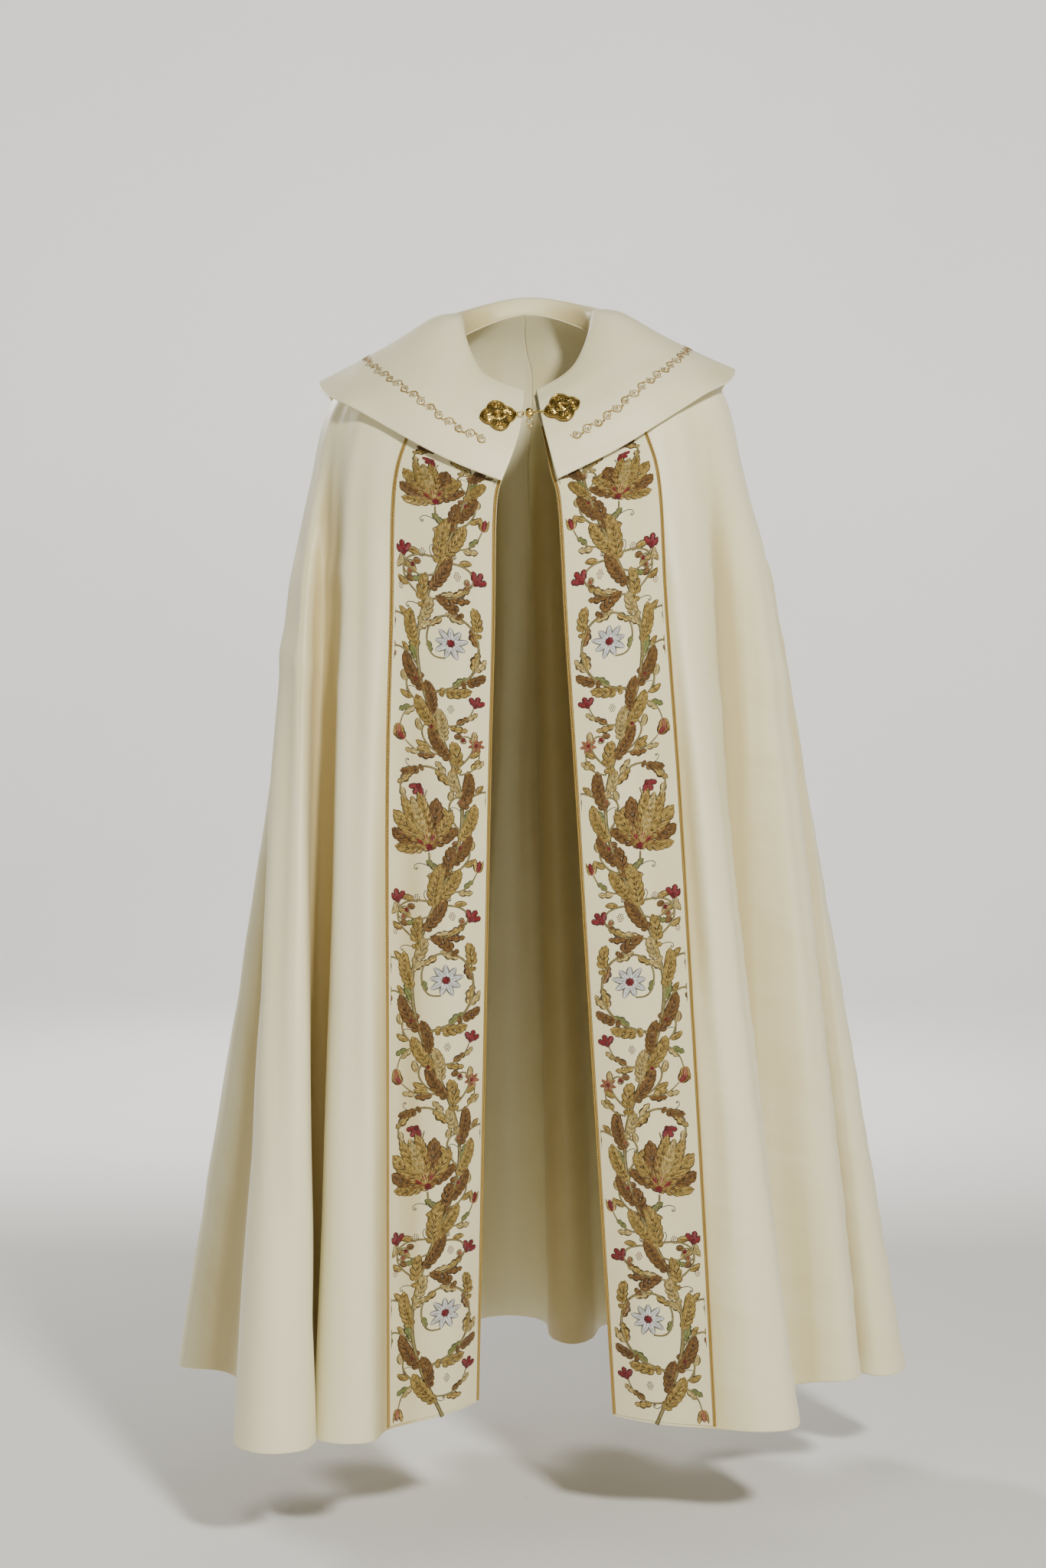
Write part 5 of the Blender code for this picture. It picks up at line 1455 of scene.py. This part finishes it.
along = unit(lugs["right"] - lugs["left"])
facing = inPlane(seats["left"][1] + seats["right"][1], along)
up = np.cross(facing, along)


def metalPiece(node, tubes, body="cope", metal=None):
    # a piece of closed tubes, each with its path, facing direction, radius and number of sides
    metal = metal or MetalBunch()
    for path, faced, radius, sides in tubes:
        metal.tube(path, faced, radius, sides, True)
    finishPiece(metal.finish(f"{node}_gilt", [gilt]), node, body)


ringMiddle = lugs["left"] + claspCut["ringRadius"] * along
ringPath = circlePath(ringMiddle, along, up, claspCut["ringRadius"], 64)
metalPiece("ring", [(ringPath, facing, claspCut["ringWire"], 12)])
roundMiddle = ringMiddle + claspCut["ringRadius"] * along
knobMiddle = roundMiddle + claspCut["hookReach"] * along
upright = unit(np.array([0, 0, 1.0]) - along[2] * along)
level = np.cross(along, upright)
knobLug = knobMiddle + (claspCut["knobHalf"][0] + claspCut["lugOut"]) * along
eye = knobMiddle - (claspCut["knobHalf"][1] + claspCut["lugOut"]) * upright


# the hook: a ribbed knob, a shank that bends round the ring, and a lug at its end and under it
hookMetal = MetalBunch()
halfAlong, halfUp, halfDeep = claspCut["knobHalf"]
hookMetal.ball(knobMiddle, level, upright, along, (halfDeep, halfUp, halfAlong), 30, 60, 0.22)
shank = (knobMiddle - 0.9 * claspCut["hookRadius"] * facing)[None]
bend = circlePath(roundMiddle, along, facing, claspCut["hookRadius"], 30, -90, -320)
hookMetal.tube(np.concatenate([shank, bend]), up, claspCut["hookWire"], 10)
metalPiece("hook", [
    (circlePath(knobLug, along, facing, claspCut["lugRadius"], 28), up, claspCut["lugWire"], 8),
    (circlePath(eye, -upright, level, claspCut["lugRadius"], 28), along, claspCut["lugWire"], 8),
], metal=hookMetal)

# the links, each a quarter turn from the one before
span = float(np.linalg.norm(lugs["right"] - knobLug))
links, wire = claspCut["links"], claspCut["linkWire"]
halfLink = (span + (links - 1) * (2 * wire + claspCut["linkPlay"])) / (2 * links)
pitch = 2 * halfLink - 2 * wire - claspCut["linkPlay"]
for number in range(links):
    centre = knobLug + (halfLink + number * pitch) * along
    across, normal = (up, facing) if number % 2 == 0 else (facing, up)
    half = claspCut["linkHalfWidth"]
    shift = (halfLink - half) * along
    ends = [circlePath(centre + k * shift, k * along, k * across, half, 16, -90, 90) for k in (1, -1)]
    metalPiece(f"link_{number + 1}", [(np.concatenate(ends), normal, wire, 10)])

# the drop: a ring on the hook's eye and a smaller one under it
aside, fall, frontwards = np.array([1.0, 0, 0]), np.array([0, 0, -1.0]), np.array([0, -1.0, 0])
bigRadius, dropStep = claspCut["dropRadius"], claspCut["dropStep"]
big = circlePath(eye + bigRadius * fall, aside, fall, bigRadius, 64)
small = circlePath(eye + (bigRadius + dropStep) * fall, aside, fall, claspCut["smallDropRadius"], 48)
metalPiece("drop", [
    (big, frontwards, claspCut["ringWire"], 12), (small, frontwards, claspCut["lugWire"], 10),
], "drop")
print("cope: clasp made")


# the sizes of the cloth that each panel was cut from, listed with its panel but not used further

sheets = {
    # width and length of the piece of cloth that each is cut from
    "front_left": (0.72, 1.52), "side_left": (0.78, 1.52), "back_left": (0.78, 1.52),
    "back_right": (0.78, 1.52), "side_right": (0.50, 1.52), "front_right": (0.90, 1.52),
}
for name, flat in sheets.items():
    panel, area = panels[name]
for side in ("left", "right"):
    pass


# floor and light

# a round floor that turns up into a wall on all sides: flat, then a quarter circle, then straight up
quarter = np.linspace(0, np.pi / 2, 20)[1:]
flatOut, bend = studio["floorOut"], studio["wallBend"]
outs = np.concatenate([[0.001, 1.5, 3.0, flatOut], flatOut + bend * np.sin(quarter), [flatOut + bend]])
lifts = np.concatenate([[0, 0, 0, 0], bend * (1 - np.cos(quarter)), [studio["wallHeight"]]])
bearings = np.linspace(0, 2 * np.pi, 97)[None]
height = lifts[:, None] + 0 * bearings + studio["floorZ"]
floorPoints = np.stack([outs[:, None] * np.sin(bearings), outs[:, None] * np.cos(bearings), height], axis=-1)
floorPaint = Paint("paleFloor", Roughness=0.8)
tone = floorPaint.noise(floorPaint.place(), 1.2, 3.0, 0.5)
colour = floorPaint.blend(tone, studio["floorColour"], tuple(0.94 * c for c in studio["floorColour"]))
floorPaint.use(Base_Color=colour)
quads = gridQuads(*floorPoints.shape[:2])
floor = addPiece("studioFloor", floorPoints.reshape(-1, 3), quads, [floorPaint.material], {})
for name, place, target, size, watts, colour in studio["lamps"]:
    lamp = bpy.data.lights.new(name, "AREA")
    lamp.shape = "DISK"
    lamp.size = size
    lamp.energy = watts
    lamp.color = colour
    lampObject = bpy.data.objects.new(name, lamp)
    bpy.context.scene.collection.objects.link(lampObject)
    turnTowards(lampObject, place, target)
world = bpy.data.worlds.new("paleStudio")
world.use_nodes = True
world.node_tree.nodes["Background"].inputs[0].default_value = (*studio["skyColour"], 1.0)
world.node_tree.nodes["Background"].inputs[1].default_value = studio["skyStrength"]
bpy.context.scene.world = world
print("cope: studio set")
